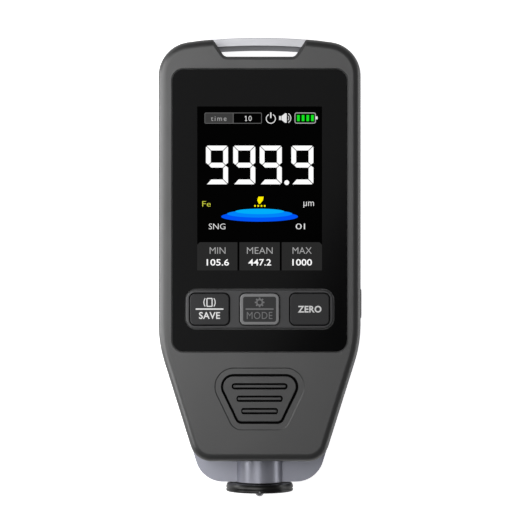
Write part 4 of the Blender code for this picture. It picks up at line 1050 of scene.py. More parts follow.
def display_window():
    """The black sheet over the display."""
    piece = prism("window", lens_outline(), LENS_LOW.z, LENS_HIGH.z)
    soften(piece, CRISP, LENS_HIGH.z)
    combine(piece, "DIFFERENCE", [bezel_prism("bezel_hole", GAP, LENS_LOW.z - REACH, OVER_FACE)])
    black = window_black("lens_black", (0.0030, 0.0030, 0.0032), 0.038)
    return dress(piece, black, nodes=["display_lens"])


def key_bezel():
    """The grey frame round the keys."""
    piece = bezel_prism("bezel", 0, BEZEL_LOW.z, BEZEL_HIGH.z)
    soften(piece, BEZEL_RIM, BEZEL_HIGH.z, 4)
    low, high = BEZEL_LOW.z - REACH, BEZEL_HIGH.z + REACH
    combine(piece, "DIFFERENCE", [key_prism(key, "opening", GAP, low, high) for key in KEYS])
    return dress(piece, BEZEL_GREY, nodes=["key_bezel"])


display_window()
key_bezel()

# %% [markdown]
# ## Keys
# The caps stand a little above the bezel, each with a soft rim, because a finger feels for that
# edge. The middle cap is paler and has a thin light line along its rim. The line could be a
# strip of mesh, but it has no height on the real key, so it is part of the cap's colour: the
# distance to a rectangle with round corners is a short formula, and the line is where that
# distance is small.


# %% Keys
def rim_distance(sheet, centre, half, radius):
    """How far a point is outside a rectangle with round corners, below 0 inside it."""
    past = []
    for place, mid, reach in zip(sheet.position(), centre, half):
        past.append(abs(place - mid) - (reach - radius))
    out_x, out_y = [side.maths("MAXIMUM", side, 0.0) for side in past]
    squared = out_x * out_x + out_y * out_y
    inner = past[0].maths("MAXIMUM", past[0], past[1])
    return squared.maths("SQRT", squared) + inner.maths("MINIMUM", inner, 0.0) - radius


def rimmed_rubber(base, rim, stroke):
    """Key rubber with a pale line along the rim of the middle cap."""
    sheet = Finish("mode_key_rubber")
    centre = (middle("mode_key").x, KEY_Y)
    on_rim = rim_distance(sheet, centre, KEY_HALF.xy, KEY_RADIUS) > -stroke
    return sheet.surface(
        Base_Color=sheet.mix(on_rim, base, rim),
        Roughness=0.6 - 0.1 * on_rim,
        Specular_IOR_Level=0.25,
        Normal=sheet.bump(sheet.noise(0.15 * MM, 3.0), GRAIN_DEPTH),
    )


def key_cap(key, finish):
    """A key: its cap with a rounded rim, on the flange that holds it in."""
    low, high = corners(key)
    flange_top = low.z + KEY_FLANGE_THICKNESS
    piece = key_prism(key, "cap", 0, flange_top - KEY_FLANGE_THICKNESS / 2, high.z)
    soften(piece, KEY_RIM, high.z, 4)
    combine(piece, "UNION", [key_prism(key, "flange", KEY_FLANGE, low.z, flange_top)])
    return dress(piece, finish, key, [key])


MODE_GREY = rimmed_rubber((0.042, 0.042, 0.0435), (0.25, 0.25, 0.255), 0.75 * MM)
for key_name in KEYS:
    key_cap(key_name, MODE_GREY if key_name == "mode_key" else KEY_GREY)

# %% [markdown]
# ## Rows of copies
# Three ribs stand in slots of the pad. They differ only in length, so Geometry Nodes make
# them: a line of points, one per rib, and a rib-shaped solid on each point that is scaled by
# its place in the line. The same tree makes the slots' cutter, the grooves on the battery door
# and the small boxes on the display. Every tree ends in real geometry with its finish on it.


# %% A sheet for Geometry Nodes
class Recipe(Sheet):
    """A Geometry Nodes tree with named inputs."""

    def __init__(self, name, **inputs):
        super().__init__(bpy.data.node_groups.new(name, "GeometryNodeTree"))
        for key, kind in {"Geometry": "Geometry", **inputs}.items():
            self.tree.interface.new_socket(key, in_out="INPUT", socket_type=f"NodeSocket{kind}")
        self.tree.interface.new_socket("Geometry", in_out="OUTPUT", socket_type="NodeSocketGeometry")
        self.given = self.node("NodeGroupInput")

    def input(self, name):
        """One of the tree's own inputs."""
        return Wire(self, self.given.outputs[name])

    def vector(self, operation, sockets):
        """A Vector Math node."""
        return self.wire("ShaderNodeVectorMath", {"operation": operation}, sockets)

    def copies(self, points, finish, **sockets):
        """The input Solid on every point, as real geometry with its finish: the tree's end."""
        solid = self.wire("GeometryNodeObjectInfo", None, {"Object": self.input("Solid")}, "Geometry")
        given = {"Points": points, "Instance": solid, **sockets}
        instances = self.wire("GeometryNodeInstanceOnPoints", None, given)
        real = self.wire("GeometryNodeRealizeInstances", None, {0: instances})
        painted = self.wire("GeometryNodeSetMaterial", None, {0: real, "Material": finish})
        self.node("NodeGroupOutput", None, {0: painted})
        return self.tree


def grown(name, tree, master, points=(), **values):
    """What a tree makes from a master solid and points, as a plain mesh."""
    piece = new_object(name, bpy.data.meshes.new(name))
    piece.data.from_pydata(points, [], [])
    step = piece.modifiers.new("recipe", "NODES")
    step.node_group = tree
    entries = [item for item in tree.interface.items_tree if item.in_out == "INPUT"]
    sockets = {item.name: item.identifier for item in entries}
    for key, value in {"Solid": master, **values}.items():
        step[sockets[key]] = value
    piece.update_tag()
    bpy.context.view_layer.update()
    bake_down(piece)
    bpy.data.objects.remove(master, do_unlink=True)
    return piece


def row_recipe(name, finish):
    """A straight row, each copy smaller than the one before by the same share."""
    recipe = Recipe(name, Solid="Object", Count="Int", Start="Vector", Step="Vector", Shrink="Vector")
    places = {
        "Count": recipe.input("Count"),
        "Start Location": recipe.input("Start"),
        "Offset": recipe.input("Step"),
    }
    line = recipe.wire("GeometryNodeMeshLine", None, places)
    index = recipe.wire("GeometryNodeInputIndex")
    loss = recipe.vector("SCALE", {0: recipe.input("Shrink"), "Scale": index})
    size = recipe.vector("SUBTRACT", {0: (1, 1, 1), 1: loss})
    return recipe.copies(line, finish, Scale=size)


def row_of(name, master, finish, count, start, pitch, shrink=(0, 0, 0)):
    """Copies of a master solid in a row."""
    tree = row_recipe(f"{name}_row", finish)
    return grown(name, tree, master, Count=count, Start=start, Step=pitch, Shrink=shrink)


# %% [markdown]
# ## Thumb pad
# The pad is a separate moulding of the same plastic, set in its pocket with a fine groove all
# round. Each rib stands in a slot of its own, a little narrower than the slot, and its top is
# level with the pad, so that the thumb feels it without the pad looking lumpy.

# %% Thumb pad
RIB_COUNT = 3
RIB_START = (0, -29.6 * MM, 0)
RIB_PITCH = (0, -3.1 * MM, 0)
SLOT_LENGTH = 14.0 * MM
RIB_SHRINK = (2.4 * MM / SLOT_LENGTH, 0, 0)
RIB_DEPTH = 0.7 * MM
SLOT_HALF = 0.8 * MM
RIB_HALF = 0.35 * MM
RIB_RIM = 0.15 * MM


def pad_row(name, solid):
    """The pad's row of three, from its longest solid."""
    return row_of(name, solid, PAD_GREY, RIB_COUNT, RIB_START, RIB_PITCH, RIB_SHRINK)


def thumb_pad():
    """The pad with ribs in slots."""
    top = PAD_HIGH.z
    floor = top - RIB_DEPTH
    piece = prism("pad", pad_outline(-PAD_GROOVE / 2), PAD_LOW.z, top)
    soften(piece, CRISP, top)
    slot = slab(SLOT_LENGTH / 2, -SLOT_HALF, SLOT_HALF, 0.75 * MM)
    rib = slab(SLOT_LENGTH / 2 - (SLOT_HALF - RIB_HALF), -RIB_HALF, RIB_HALF, 0.3 * MM)
    slots = pad_row("slots", prism("slot_solid", slot, floor, top + REACH))
    rib_solid = prism("rib_solid", rib, floor - REACH / 4, top)
    soften(rib_solid, RIB_RIM, top)
    combine(piece, "DIFFERENCE", [slots])
    combine(piece, "UNION", [pad_row("ribs", rib_solid)])
    return dress(piece, PAD_GREY, nodes=["thumb_pad"])


thumb_pad()

# %% [markdown]
# ## Power button
# The button sits low in the right side wall. It is drawn lying down, rounded there, and then
# turned so that it points out of the wall. A flange behind the wall keeps it from falling out.


# %% Power button
def power_button():
    """The side button with its flange behind the wall."""
    mid = middle("power_button")
    at = (0, mid.y, mid.z)
    flange_x = POWER_LOW.x + POWER_FLANGE_THICKNESS
    start_x = flange_x - POWER_FLANGE_THICKNESS / 2
    piece = prism("power_cap", power_outline(), start_x, POWER_HIGH.x)
    soften(piece, POWER_RIM, POWER_HIGH.x, 4)
    bake_down(piece)
    piece.data.transform(Matrix.Translation(at) @ ALONG_X)
    wide, long = POWER_HALF_HEIGHT + POWER_FLANGE, POWER_HALF_LENGTH + POWER_FLANGE
    flange = slab(wide, -long, long, wide / 2)
    combine(piece, "UNION", [prism("power_flange", flange, POWER_LOW.x, flange_x, at, ALONG_X)])
    return dress(piece, KEY_GREY, "power_button", ["power_button"])


power_button()

# %% [markdown]
# ## Probe
# The collar and the tip are turned parts, so each is a profile spun round the barrel's axis.
# A V groove across the collar's face lets the gauge sit on a pipe. The collar's edge has two
# fine steps, which catch the light as thin arcs. A lathe leaves rings round its axis, and the
# finish draws them as a sine wave of the distance from that axis.

# %% Turned finish
FINE_RING = 0.10 * MM


def turned_finish(name, colour, roughness, metallic=0.0, specular=0.5, ring=FINE_RING, depth=0.002 * MM):
    """A lathe's finish: rings round the probe's axis."""
    sheet = Finish(name)
    x, along, z = sheet.position()
    across, upward = x - PROBE_AXIS.x, z - PROBE_AXIS.z
    squared = across * across + upward * upward
    radius = squared.maths("SQRT", squared)
    turns = (radius + along) * (math.tau / ring)
    rings = turns.maths("SINE", turns)
    return sheet.surface(
        Base_Color=colour,
        Roughness=roughness - 0.05 + 0.10 * sheet.noise(1.5 * MM),
        Metallic=metallic,
        Specular_IOR_Level=specular,
        Normal=sheet.bump(0.5 + 0.5 * rings, depth),
    )


SOOT = (0.007, 0.007, 0.007)
COLLAR_BLACK = turned_finish("collar_black", SOOT, 0.30, specular=0.4, ring=0.35 * MM, depth=0.01 * MM)
TIP_STEEL = turned_finish("tip_steel", (0.42, 0.42, 0.44), 0.3, metallic=1.0)
print("turned finishes:", COLLAR_BLACK.name, TIP_STEEL.name)

# %% Collar
COLLAR_LOW, COLLAR_HIGH = corners("probe_collar")


def collar_profile(back, top):
    """The collar's half section: its face, stepped rim, spigot and the pocket inside."""
    radius = COLLAR_HIGH.x
    spigot = BORE_RADIUS - GAP
    pocket = top - 4.4 * MM
    return [
        (TIP_BORE, 0.0),
        (5.3 * MM, 0.0),
        (5.6 * MM, 0.3 * MM),
        (radius - 0.35 * MM, 0.3 * MM),
        (radius - 0.10 * MM, 0.42 * MM),
        (radius, 0.62 * MM),
        (radius - 0.02 * MM, 0.92 * MM),
        (radius - 0.2 * MM, 1.02 * MM),
        (radius - 0.2 * MM, 1.22 * MM),
        (radius - 0.02 * MM, 1.32 * MM),
        (radius, back - 0.80 * MM),
        (radius - 0.25 * MM, back - 0.10 * MM),
        (radius - 0.35 * MM, back),
        (spigot, back),
        (spigot, top),
        (spigot - 0.7 * MM, top),
        (spigot - 0.7 * MM, pocket),
        (TIP_BORE, pocket),
    ]


def probe_collar():
    """The black collar with its V groove."""
    face = COLLAR_LOW.y
    at = (0, face, PROBE_Z)
    profile = collar_profile(REAR_LOW.y - GAP - face, COLLAR_HIGH.y - face)
    piece = lathe("collar", profile, at, ring=True, sides=96)
    groove = [(1.9 * MM, -REACH, 0), (0, 0.9 * MM, 0.12 * MM), (-1.9 * MM, -REACH, 0)]
    reach = COLLAR_HIGH.x + REACH
    combine(piece, "DIFFERENCE", [prism("v_groove", groove, -reach, reach, at)])
    return dress(piece, COLLAR_BLACK, nodes=["probe_collar"], sharp=28)


probe_collar()

# %% Tip
TIP_LOW, TIP_HIGH = corners("probe_tip")
TIP_FLANGE = 2.6 * MM


def probe_tip():
    """The steel tip: a dome, a stem, a stop flange and a tail."""
    radius = TIP_BORE - GAP
    tail = radius * 0.8
    length = TIP_HIGH.y - TIP_LOW.y
    flange_top = length - 5.5 * MM
    flange_low = flange_top - 0.7 * MM
    profile = dome(radius, radius, 8) + [
        (radius, flange_low),
        (TIP_FLANGE, flange_low),
        (TIP_FLANGE, flange_top),
        (tail, flange_top),
        (tail, length),
        (0, length),
    ]
    piece = lathe("tip", profile, (0, TIP_LOW.y, PROBE_Z), sides=48)
    return dress(piece, TIP_STEEL, "probe_tip", ["probe_tip"], sharp=28)


probe_tip()

# %% [markdown]
# ## Screws
# Four pan-head screws hold the case. They are one shape four times, so one screw is modelled
# with its cross recess and Geometry Nodes put it on the four places that the frame gives. No
# two screws stop at the same angle, so a random value turns each one.


# %% Plated steel
def plated(name, colour, roughness=0.28):
    """Plated steel with a faint drawn grain."""
    sheet = Finish(name)
    drawn = sheet.noise(0.25 * MM, scale=(1, 0.15, 1))
    return sheet.surface(
        Base_Color=sheet.mix(drawn, shade(colour, 0.85), colour),
        Roughness=roughness + 0.1 * drawn,
        Metallic=1.0,
        Normal=sheet.bump(drawn, 0.002 * MM),
    )


STEEL = plated("plated_steel", (0.60, 0.60, 0.61))
DARK_STEEL = plated("blackened_steel", (0.16, 0.16, 0.17), 0.35)
print("steels:", STEEL.name, DARK_STEEL.name)

# %% Screws
HEAD_LOW, SHANK_HIGH = [corner.z for corner in corners("screw_1")]
HEAD_HIGH = HEAD_LOW + 1.7 * MM
HEAD_RADIUS = 2.5 * MM
SHANK_RADIUS = 1.1 * MM
THREAD_TURNS = 18
CROSS_ARMS = {"wide": (1.25 * MM, 0.28 * MM), "tall": (0.28 * MM, 1.25 * MM)}


def screw_solid():
    """One pan-head screw, standing on its head's place with its point up."""
    pan = [(radius, HEAD_LOW + height) for radius, height in dome(HEAD_RADIUS, 0.75 * MM, 6)]
    profile = pan + [(HEAD_RADIUS, HEAD_HIGH), (SHANK_RADIUS, HEAD_HIGH)]
    pitch = (SHANK_HIGH - 1.2 * MM - HEAD_HIGH) / THREAD_TURNS
    for number in range(THREAD_TURNS):
        start = HEAD_HIGH + number * pitch
        profile += [(SHANK_RADIUS * 0.84, start + 0.35 * pitch), (SHANK_RADIUS, start + 0.85 * pitch)]
    profile += [(SHANK_RADIUS * 0.8, SHANK_HIGH - 1.0 * MM), (0, SHANK_HIGH)]
    solid = lathe("screw_solid", profile, turn=Matrix.Identity(4), sides=32)
    arms = [
        box(f"cross_{name}", (-a, -b, HEAD_LOW - REACH), (a, b, HEAD_LOW + 1.1 * MM))
        for name, (a, b) in CROSS_ARMS.items()
    ]
    combine(solid, "DIFFERENCE", arms)
    bake_down(solid)
    return solid


def screw_recipe():
    """A solid on each point of the object, turned by a random angle."""
    recipe = Recipe("screw_places", Solid="Object", Turn="Float", Seed="Int")
    limits = {3: recipe.input("Turn"), "Seed": recipe.input("Seed")}
    angle = recipe.wire("FunctionNodeRandomValue", {"data_type": "FLOAT"}, limits, 1)
    spin = recipe.wire("ShaderNodeCombineXYZ", None, {"Z": angle})
    return recipe.copies(recipe.input("Geometry"), DARK_STEEL, Rotation=spin)


def screws():
    """Four screws at the frame's places."""
    places = [(spot.x, spot.y, 0) for spot in SCREWS]
    piece = grown("case_screws", screw_recipe(), screw_solid(), places, Turn=math.pi / 2, Seed=4)
    return dress(piece, DARK_STEEL, nodes=SCREW_NODES, sharp=30)


screws()

# %% [markdown]
# ## Battery door
# The door over the cells is a plate that lies flush with the back. Two necks rise from its upper
# edge and end in hooks that go behind the housing's floor, and it swings on those. Three short
# grooves near its lower edge give the thumb a grip.

# %% Battery door
TAB_X = 7.0 * MM
TAB_HALF = 2.5 * MM
HOOK_INSET = 0.25 * MM
DOOR_PLATE_TOP_Z = DOOR_LOW.z + 1.6 * MM
DOOR_RIM = 0.2 * MM
GRIP_START = (0, DOOR_LOW.y + 4.9 * MM, 0)
GRIP_PITCH = (0, 1.8 * MM, 0)
GRIP_DEPTH = 0.6 * MM


def hinge_tab(side):
    """A neck and its hook, on one side."""
    inner, outer = side * TAB_X - TAB_HALF, side * TAB_X + TAB_HALF
    neck_low = (inner, DOOR_END_Y - 1 * MM, DOOR_PLATE_TOP_Z - ROOT)
    hook_low = (inner + HOOK_INSET, DOOR_END_Y - 0.5 * MM, WALL + GAP)
    hook_high = (outer - HOOK_INSET, DOOR_HIGH.y, DOOR_HIGH.z - HOOK_INSET / 2)
    return [
        box(f"neck_{side}", neck_low, (outer, DOOR_END_Y, DOOR_HIGH.z)),
        box(f"hook_{side}", hook_low, hook_high),
    ]


def battery_door():
    """The door plate with its hinge tabs and finger grooves."""
    piece = prism("door", door_outline(), DOOR_LOW.z, DOOR_PLATE_TOP_Z)
    soften(piece, DOOR_RIM, DOOR_LOW.z)
    combine(piece, "UNION", hinge_tab(1) + hinge_tab(-1))
    groove = slab(6 * MM, -0.4 * MM, 0.4 * MM, 0.39 * MM)
    solid = prism("grip_solid", groove, DOOR_LOW.z - REACH, DOOR_LOW.z + GRIP_DEPTH)
    combine(piece, "DIFFERENCE", [row_of("grips", solid, BLUE_GREY, 3, GRIP_START, GRIP_PITCH)])
    return dress(piece, BLUE_GREY, "battery_door", ["battery_door"])


battery_door()

# %% [markdown]
# ## What the display shows
# The display is a portrait panel, 240 dots wide. Its picture is laid out in those dots, from
# the panel's upper left corner, as its screens are drawn. Each colour becomes one thin sheet
# that lies on the window, because the panel is bonded to it. A lit display gives its own light
# and takes none from the studio, so its finishes are emission on black.

# %% Display finishes
DOT = 2 * SCREEN_HALF / 240
SHEET_THICKNESS = 0.02 * MM
PICTURE_Z = LENS_HIGH.z + 0.02 * MM


def glow(name, red, green, blue):
    """A lit colour, from 0 to 255 on each channel."""
    linear = tuple((part / 255) ** 2.2 for part in (red, green, blue))
    return Finish(name).surface(
        Base_Color=(0, 0, 0),
        Roughness=0.6,
        Specular_IOR_Level=0.0,
        Emission_Color=linear,
        Emission_Strength=1.0,
    )


SCREEN_BLACK = window_black("screen_black", (0.0, 0.0, 0.0), 0.004)
WHITE = glow("display_white", 255, 255, 255)
SILVER = glow("display_silver", 228, 228, 228)
SOFT_GREY = glow("display_soft_grey", 165, 165, 165)
RIM_GREY = glow("display_rim_grey", 100, 100, 100)
CELL_GREY = glow("display_cell_grey", 62, 62, 62)
TILE_GREY = glow("display_tile_grey", 46, 46, 46)
GREEN = glow("display_green", 28, 226, 38)
YELLOW = glow("display_yellow", 255, 238, 0)
DULL_YELLOW = glow("display_dull_yellow", 205, 208, 70)
BLUES = [
    glow("display_deep_blue", 0, 84, 245),
    glow("display_mid_blue", 0, 130, 250),
    glow("display_light_blue", 0, 172, 250),
]
print("a dot is", round(DOT / MM, 3), "mm")

# %% Outlines in dots
CORNER_STEP = math.radians(15)


def dots(points):
    """Display dots, from the upper left corner, as metres on the gauge."""
    return [(-SCREEN_HALF + u * DOT, SCREEN_HIGH_Y - v * DOT) for u, v in points]


def rounded_box(left, top, right, bottom, radius=0.0):
    """Outline of a rectangle in dots, with round corners."""
    spots = ((left, top), (right, top), (right, bottom), (left, bottom))
    return rounded([(u, v, radius) for u, v in spots], CORNER_STEP)


def frame_box(left, top, right, bottom, radius, stroke):
    """A rectangle's outline and the one inside it, a stroke in."""
    inner = (left + stroke, top + stroke, right - stroke, bottom - stroke)
    return [rounded_box(left, top, right, bottom, radius), rounded_box(*inner, max(radius - stroke, 0))]


def arc(centre, half_width, half_height, angles):
    """Points of an ellipse at some angles."""
    return [(centre[0] + half_width * math.cos(a), centre[1] + half_height * math.sin(a)) for a in angles]


def oval(centre, half_width, half_height, steps=72):
    """An ellipse's outline."""
    return arc(centre, half_width, half_height, [math.tau * n / steps for n in range(steps)])


def band(centre, inner, outer, start, stop, steps=24):
    """Part of a ring between two angles in degrees, counted from the right, clockwise."""
    angles = [math.radians(start + (stop - start) * n / steps) for n in range(steps + 1)]
    return arc(centre, outer, outer, angles) + arc(centre, inner, inner, angles[::-1])


print("a ring of 16 steps:", len(band((0, 0), 1, 2, 0, 90, 16)), "points")

# %% [markdown]
# ## From outlines and words to sheets
# A filled 2D curve treats an outline inside another as a hole, which makes rings and frames
# without any cutting. Blender's own font gives the words. A word is made once, measured, and
# then scaled to the height and width that it has on the gauge, so the layout decides its size.

# %% Sheets and words
FONT_DEPTH = 0.01


def curve_mesh(name, curve, matrix):
    """A curve or text as a closed mesh whose place is in its points."""
    guide = new_object(name, curve)
    mesh = evaluated_mesh(guide)
    bpy.data.objects.remove(guide, do_unlink=True)
    shape = bmesh.new()
    shape.from_mesh(mesh)
    bmesh.ops.remove_doubles(shape, verts=shape.verts, dist=MERGE)
    bmesh.ops.recalc_face_normals(shape, faces=shape.faces)
    shape.to_mesh(mesh)
    shape.free()
    mesh.transform(matrix)
    return mesh


def flat_mesh(name, outlines, low):
    """A thin sheet from outlines in metres; an outline inside another is a hole."""
    curve = bpy.data.curves.new(name, "CURVE")
    curve.dimensions = "2D"
    curve.fill_mode = "BOTH"
    curve.extrude = SHEET_THICKNESS / 2
    for points in outlines:
        spline = curve.splines.new("POLY")
        spline.points.add(len(points) - 1)
        for point, (x, y) in zip(spline.points, points):
            point.co = (x, y, 0, 1)
        spline.use_cyclic_u = True
    return curve_mesh(name, curve, Matrix.Translation((0, 0, low + SHEET_THICKNESS / 2)))


def lettering(text, centre, height, width, low, weight=0.0, spacing=1.0):
    """Words as a thin mesh with a set height and width, round a centre in metres."""
    font = bpy.data.curves.new("lettering", "FONT")
    font.body = text
    font.size = 1.0
    font.offset = weight
    font.space_character = spacing
    font.resolution_u = 3
    font.extrude = FONT_DEPTH
    mesh = curve_mesh("lettering", font, Matrix.Identity(4))
    xs = [vertex.co.x for vertex in mesh.vertices]
    ys = [vertex.co.y for vertex in mesh.vertices]
    scale_x = width / (max(xs) - min(xs))
    scale_y = height / (max(ys) - min(ys))
    centring = Matrix.Translation((-(max(xs) + min(xs)) / 2, -(max(ys) + min(ys)) / 2, FONT_DEPTH))
    size = Matrix.Diagonal((scale_x, scale_y, SHEET_THICKNESS / (2 * FONT_DEPTH), 1))
    mesh.transform(Matrix.Translation((centre[0], centre[1], low)) @ size @ centring)
    return mesh


def gather(name, meshes, finish, body="housing"):
    """One piece from several meshes of the same finish."""
    shape = bmesh.new()
    for mesh in meshes:
        shape.from_mesh(mesh)
        bpy.data.meshes.remove(mesh)
    piece = placed(name, shape)
    paint(piece, finish)
    return hand_over(piece, body, ())


# %% Sheets and words on the display
def layer_z(layer):
    """Height of a layer of the picture above the panel's black."""
    return PICTURE_Z + layer * SHEET_THICKNESS


def on_screen(outlines, layer=0):
    """A sheet from outlines in dots."""
    return flat_mesh("picture", [dots(points) for points in outlines], layer_z(layer))


def screen_word(text, left, top, right, bottom, weight=0.0, spacing=1.0):
    """Words that fill a box in dots, on the top layer."""
    [centre] = dots([((left + right) / 2, (top + bottom) / 2)])
    height, width = (bottom - top) * DOT, (right - left) * DOT
    return lettering(text, centre, height, width, layer_z(2), weight, spacing)


# %% [markdown]
# The reading is four digits of seven segments. A segment is a bar with mitred ends, and a
# nine lacks only the lower left one. One function gives a nine's six outlines, worked out from
# the digit's width, its height and its stroke, and each digit moves them to its place.

# %% The reading
DIGIT_WIDTH = 42.5
DIGIT_HEIGHT = 74.4
DIGIT_TOP = 75.4
STROKE = 9.3
SEAM = 0.9
CHAMFER = 3.0
DIGIT_LEFTS = (16.8, 69.2, 120.2, 181.0)
POINT = ((172.2, 146.5), 4.7)


def nine():
    """Outlines of a nine's six segments, from its upper left corner, in dots."""
    w, h, s, c, g = DIGIT_WIDTH, DIGIT_HEIGHT, STROKE, CHAMFER, SEAM
    mid, half = 0.505 * h, s / 2
    near, far = (c - g) / 2, (c + g) / 2
    left, right = s + g, w - s - g
    top = [(far, near), (c, 0), (w - c, 0), (w - far, near), (right, s), (left, s)]
    bottom = [(left, h - s), (right, h - s), (w - far, h - near), (w - c, h), (c - 1, h)]
    over = [(half + g, mid), (left, mid - half), (right, mid - half), (w - half - g, mid)]
    centre = over + [(right, mid + half), (left, mid + half)]
    outer_end = [(0, c), (near, far), (s, s + g)]
    inner_end = [(s, mid - half - g), (half, mid - g), (0, mid - half)]
    upper_left = outer_end + inner_end
    upper_right = [(w - x, y) for x, y in upper_left]
    lower_right = [(w - x, h - y) for x, y in outer_end] + [(w - x, 2 * mid - y) for x, y in inner_end]
    return [top, upper_left, upper_right, centre, lower_right, bottom]


def digit(left):
    """A nine with its left edge at a place."""
    return on_screen([[(left + x, DIGIT_TOP + y) for x, y in outline] for outline in nine()], 1)


point = on_screen([oval(POINT[0], POINT[1], POINT[1], 32)], 1)
gather("display_reading", [digit(left) for left in DIGIT_LEFTS] + [point], WHITE)

# %% [markdown]
# The status row has the time box, the power sign, the loudspeaker and the battery. Lines and
# letters of one colour are gathered into one piece.

# %% Status row
POWER_ICON = (141.6, 23.6)
SPEAKER = (170.1, 22.3)
NOUGHT = (101.7, 23.0)
CONE = [(162.1, 18.5), (168.9, 13.2), (172.2, 13.2), (172.2, 31.4), (168.9, 31.4), (162.1, 26.1)]
ONE_STEM = [(93.4, 18.2), (94.6, 18.2), (94.6, 27.0), (96.0, 27.0), (96.0, 27.9), (91.8, 27.9)]
ONE_FLAG = [(91.8, 27.0), (93.3, 27.0), (93.3, 20.2), (91.6, 21.0), (91.4, 20.1)]
SIGNS = (
    [band(POWER_ICON, 8.0, 9.6, -62, 242, 48)],
    [rounded_box(140.4, 11.6, 142.8, 22.5, 1.0)],
    [rounded_box(157.5, 18.5, 161.0, 26.1)],
    [CONE],
    [band(SPEAKER, 5.5, 6.7, -42, 42, 16)],
    [band(SPEAKER, 9.4, 10.8, -60, 60, 24)],
    [rounded_box(227.6, 19.2, 231.6, 24.9, 0.8)],
    [ONE_STEM + ONE_FLAG],
    [oval(NOUGHT, 3.0, 4.9, 32), oval(NOUGHT, 1.9, 3.8, 32)],
)

gather("display_time_cell", [on_screen([rounded_box(15.0, 12.9, 69.0, 32.2)])], CELL_GREY)
time_rim = on_screen(frame_box(14.1, 12.0, 124.2, 33.0, 2.5, 1.1), 1)
divider = on_screen([rounded_box(68.6, 12.9, 69.9, 32.2)], 1)
gather("display_time_rim", [time_rim, divider], RIM_GREY)
gather("display_time_words", [screen_word("time", 26.4, 19.0, 56.4, 28.0, spacing=1.3)], SOFT_GREY)
gather("display_signs", [on_screen(sign, 1) for sign in SIGNS], SILVER)
battery_rim = on_screen(frame_box(187.2, 11.7, 228.2, 33.0, 4.0, 1.7), 1)
gather("display_battery_rim", [battery_rim], SOFT_GREY)


# %% Battery bars and pointer dots
def screen_row(name, finish, size, radius, first, pitch):
    """A row of four small upright boxes on the display, from sizes and places in dots."""
    half_width, half_height = size[0] * DOT / 2, size[1] * DOT / 2
    outline = slab(half_width, -half_height, half_height, radius * DOT)
    master = prism("small_box", outline, layer_z(1), layer_z(1) + SHEET_THICKNESS)
    [(x, y)] = dots([first])
    piece = row_of(name, master, finish, 4, (x, y, 0), (pitch * DOT, 0, 0))
    hand_over(piece, "housing", ())


screen_row("display_battery_bars", GREEN, (5.2, 11.8), 0.6, (194.6, 22.4), 9.0)
screen_row("display_pointer_dots", YELLOW, (3.1, 3.3), 0.7, (111.2, 191.3), 6.2)

# %% [markdown]
# A yellow pointer stands over three stacked discs. They could share one layer if each had the
# next one's shape cut out, but it is simpler to lay each disc one layer higher than the larger
# one below it.

# %% Pointer, discs and words
POINTER_TOP = [(117.6, 173.6), (128.0, 173.6), (126.4, 180.4)]
POINTER_FOOT = [(121.0, 187.4), (118.6, 187.4), (115.4, 180.4)]
DISCS = (((120.0, 211.9), 73.8, 9.7), ((120.2, 206.6), 62.8, 7.2), ((120.2, 202.0), 46.9, 5.2))

gather("display_pointer", [on_screen([POINTER_TOP + POINTER_FOOT], 1)], YELLOW)
for layer, (disc, blue) in enumerate(zip(DISCS, BLUES)):
    gather(f"display_disc_{layer + 1}", [on_screen([oval(*disc)], layer)], blue)
gather("display_metal", [screen_word("Fe", 9.8, 182.2, 26.0, 192.7, -0.008)], DULL_YELLOW)
small_words = [
    screen_word("µm", 204.4, 183.0, 224.5, 194.8, -0.006),
    screen_word("SNG", 22.2, 225.3, 54.2, 236.3, -0.008),
    screen_word("01", 189.4, 225.3, 207.4, 236.3, -0.008, 0.8),
]
gather("display_words", small_words, SILVER)

# %% [markdown]
# Three boxes at the foot hold a grey label over a white number. The outer corners of the first
# and the last box are cut off.

# %% Statistics
TILE_TOP, TILE_BOTTOM = 261.2, 315.4
TILE_CUT = 5.0
TILES = (
    (0.0, 77.3, "left", ("MIN", 24.0, 54.4), ("105.6", 18.2, 61.2)),
    (81.2, 158.8, "middle", ("MEAN", 95.6, 145.0), ("447.2", 98.4, 142.2)),
    (162.6, 240.0, "right", ("MAX", 183.4, 220.2), ("1000", 183.0, 220.8)),
)


def tile_outline(left, right, place):
    """A box with a corner cut off where it is the first or the last."""
    upper_right = [(right, TILE_TOP)]
    upper_left = [(left, TILE_TOP)]
    if place == "left":
        upper_left = [(left + TILE_CUT, TILE_TOP), (left, TILE_TOP + TILE_CUT)]
    if place == "right":
        upper_right = [(right, TILE_TOP + TILE_CUT), (right - TILE_CUT, TILE_TOP)]
    return [(left, TILE_BOTTOM), (right, TILE_BOTTOM)] + upper_right + upper_left


tiles, labels, numbers = [], [], []
for tile_left, tile_right, tile_place, (label, *label_ends), (number, *number_ends) in TILES:
    tiles.append(on_screen([tile_outline(tile_left, tile_right, tile_place)]))
    labels.append(screen_word(label, label_ends[0], 270.9, label_ends[1], 283.4, -0.006))
    numbers.append(screen_word(number, number_ends[0], 293.6, number_ends[1], 306.2, 0.012))
gather("display_tiles", tiles, TILE_GREY)
gather("display_tile_labels", labels, SOFT_GREY)
gather("display_tile_numbers", numbers, WHITE)

# %% The panel's black, under the picture
black_sheet = slab(SCREEN_HALF, SCREEN_LOW_Y, SCREEN_HIGH_Y)
panel_black = prism("display_black", black_sheet, LENS_HIGH.z + 0.005 * MM, PICTURE_Z - 0.002 * MM)
dress(panel_black, SCREEN_BLACK)

# %% [markdown]
# ## Legends on the keys
# SAVE and ZERO are printed white, and the middle key is marked in grey. Each print rides with
# its own key, so it goes down when the key does. The prints are drawn in millimetres round the
# middle of the key, as on a printer's drawing.

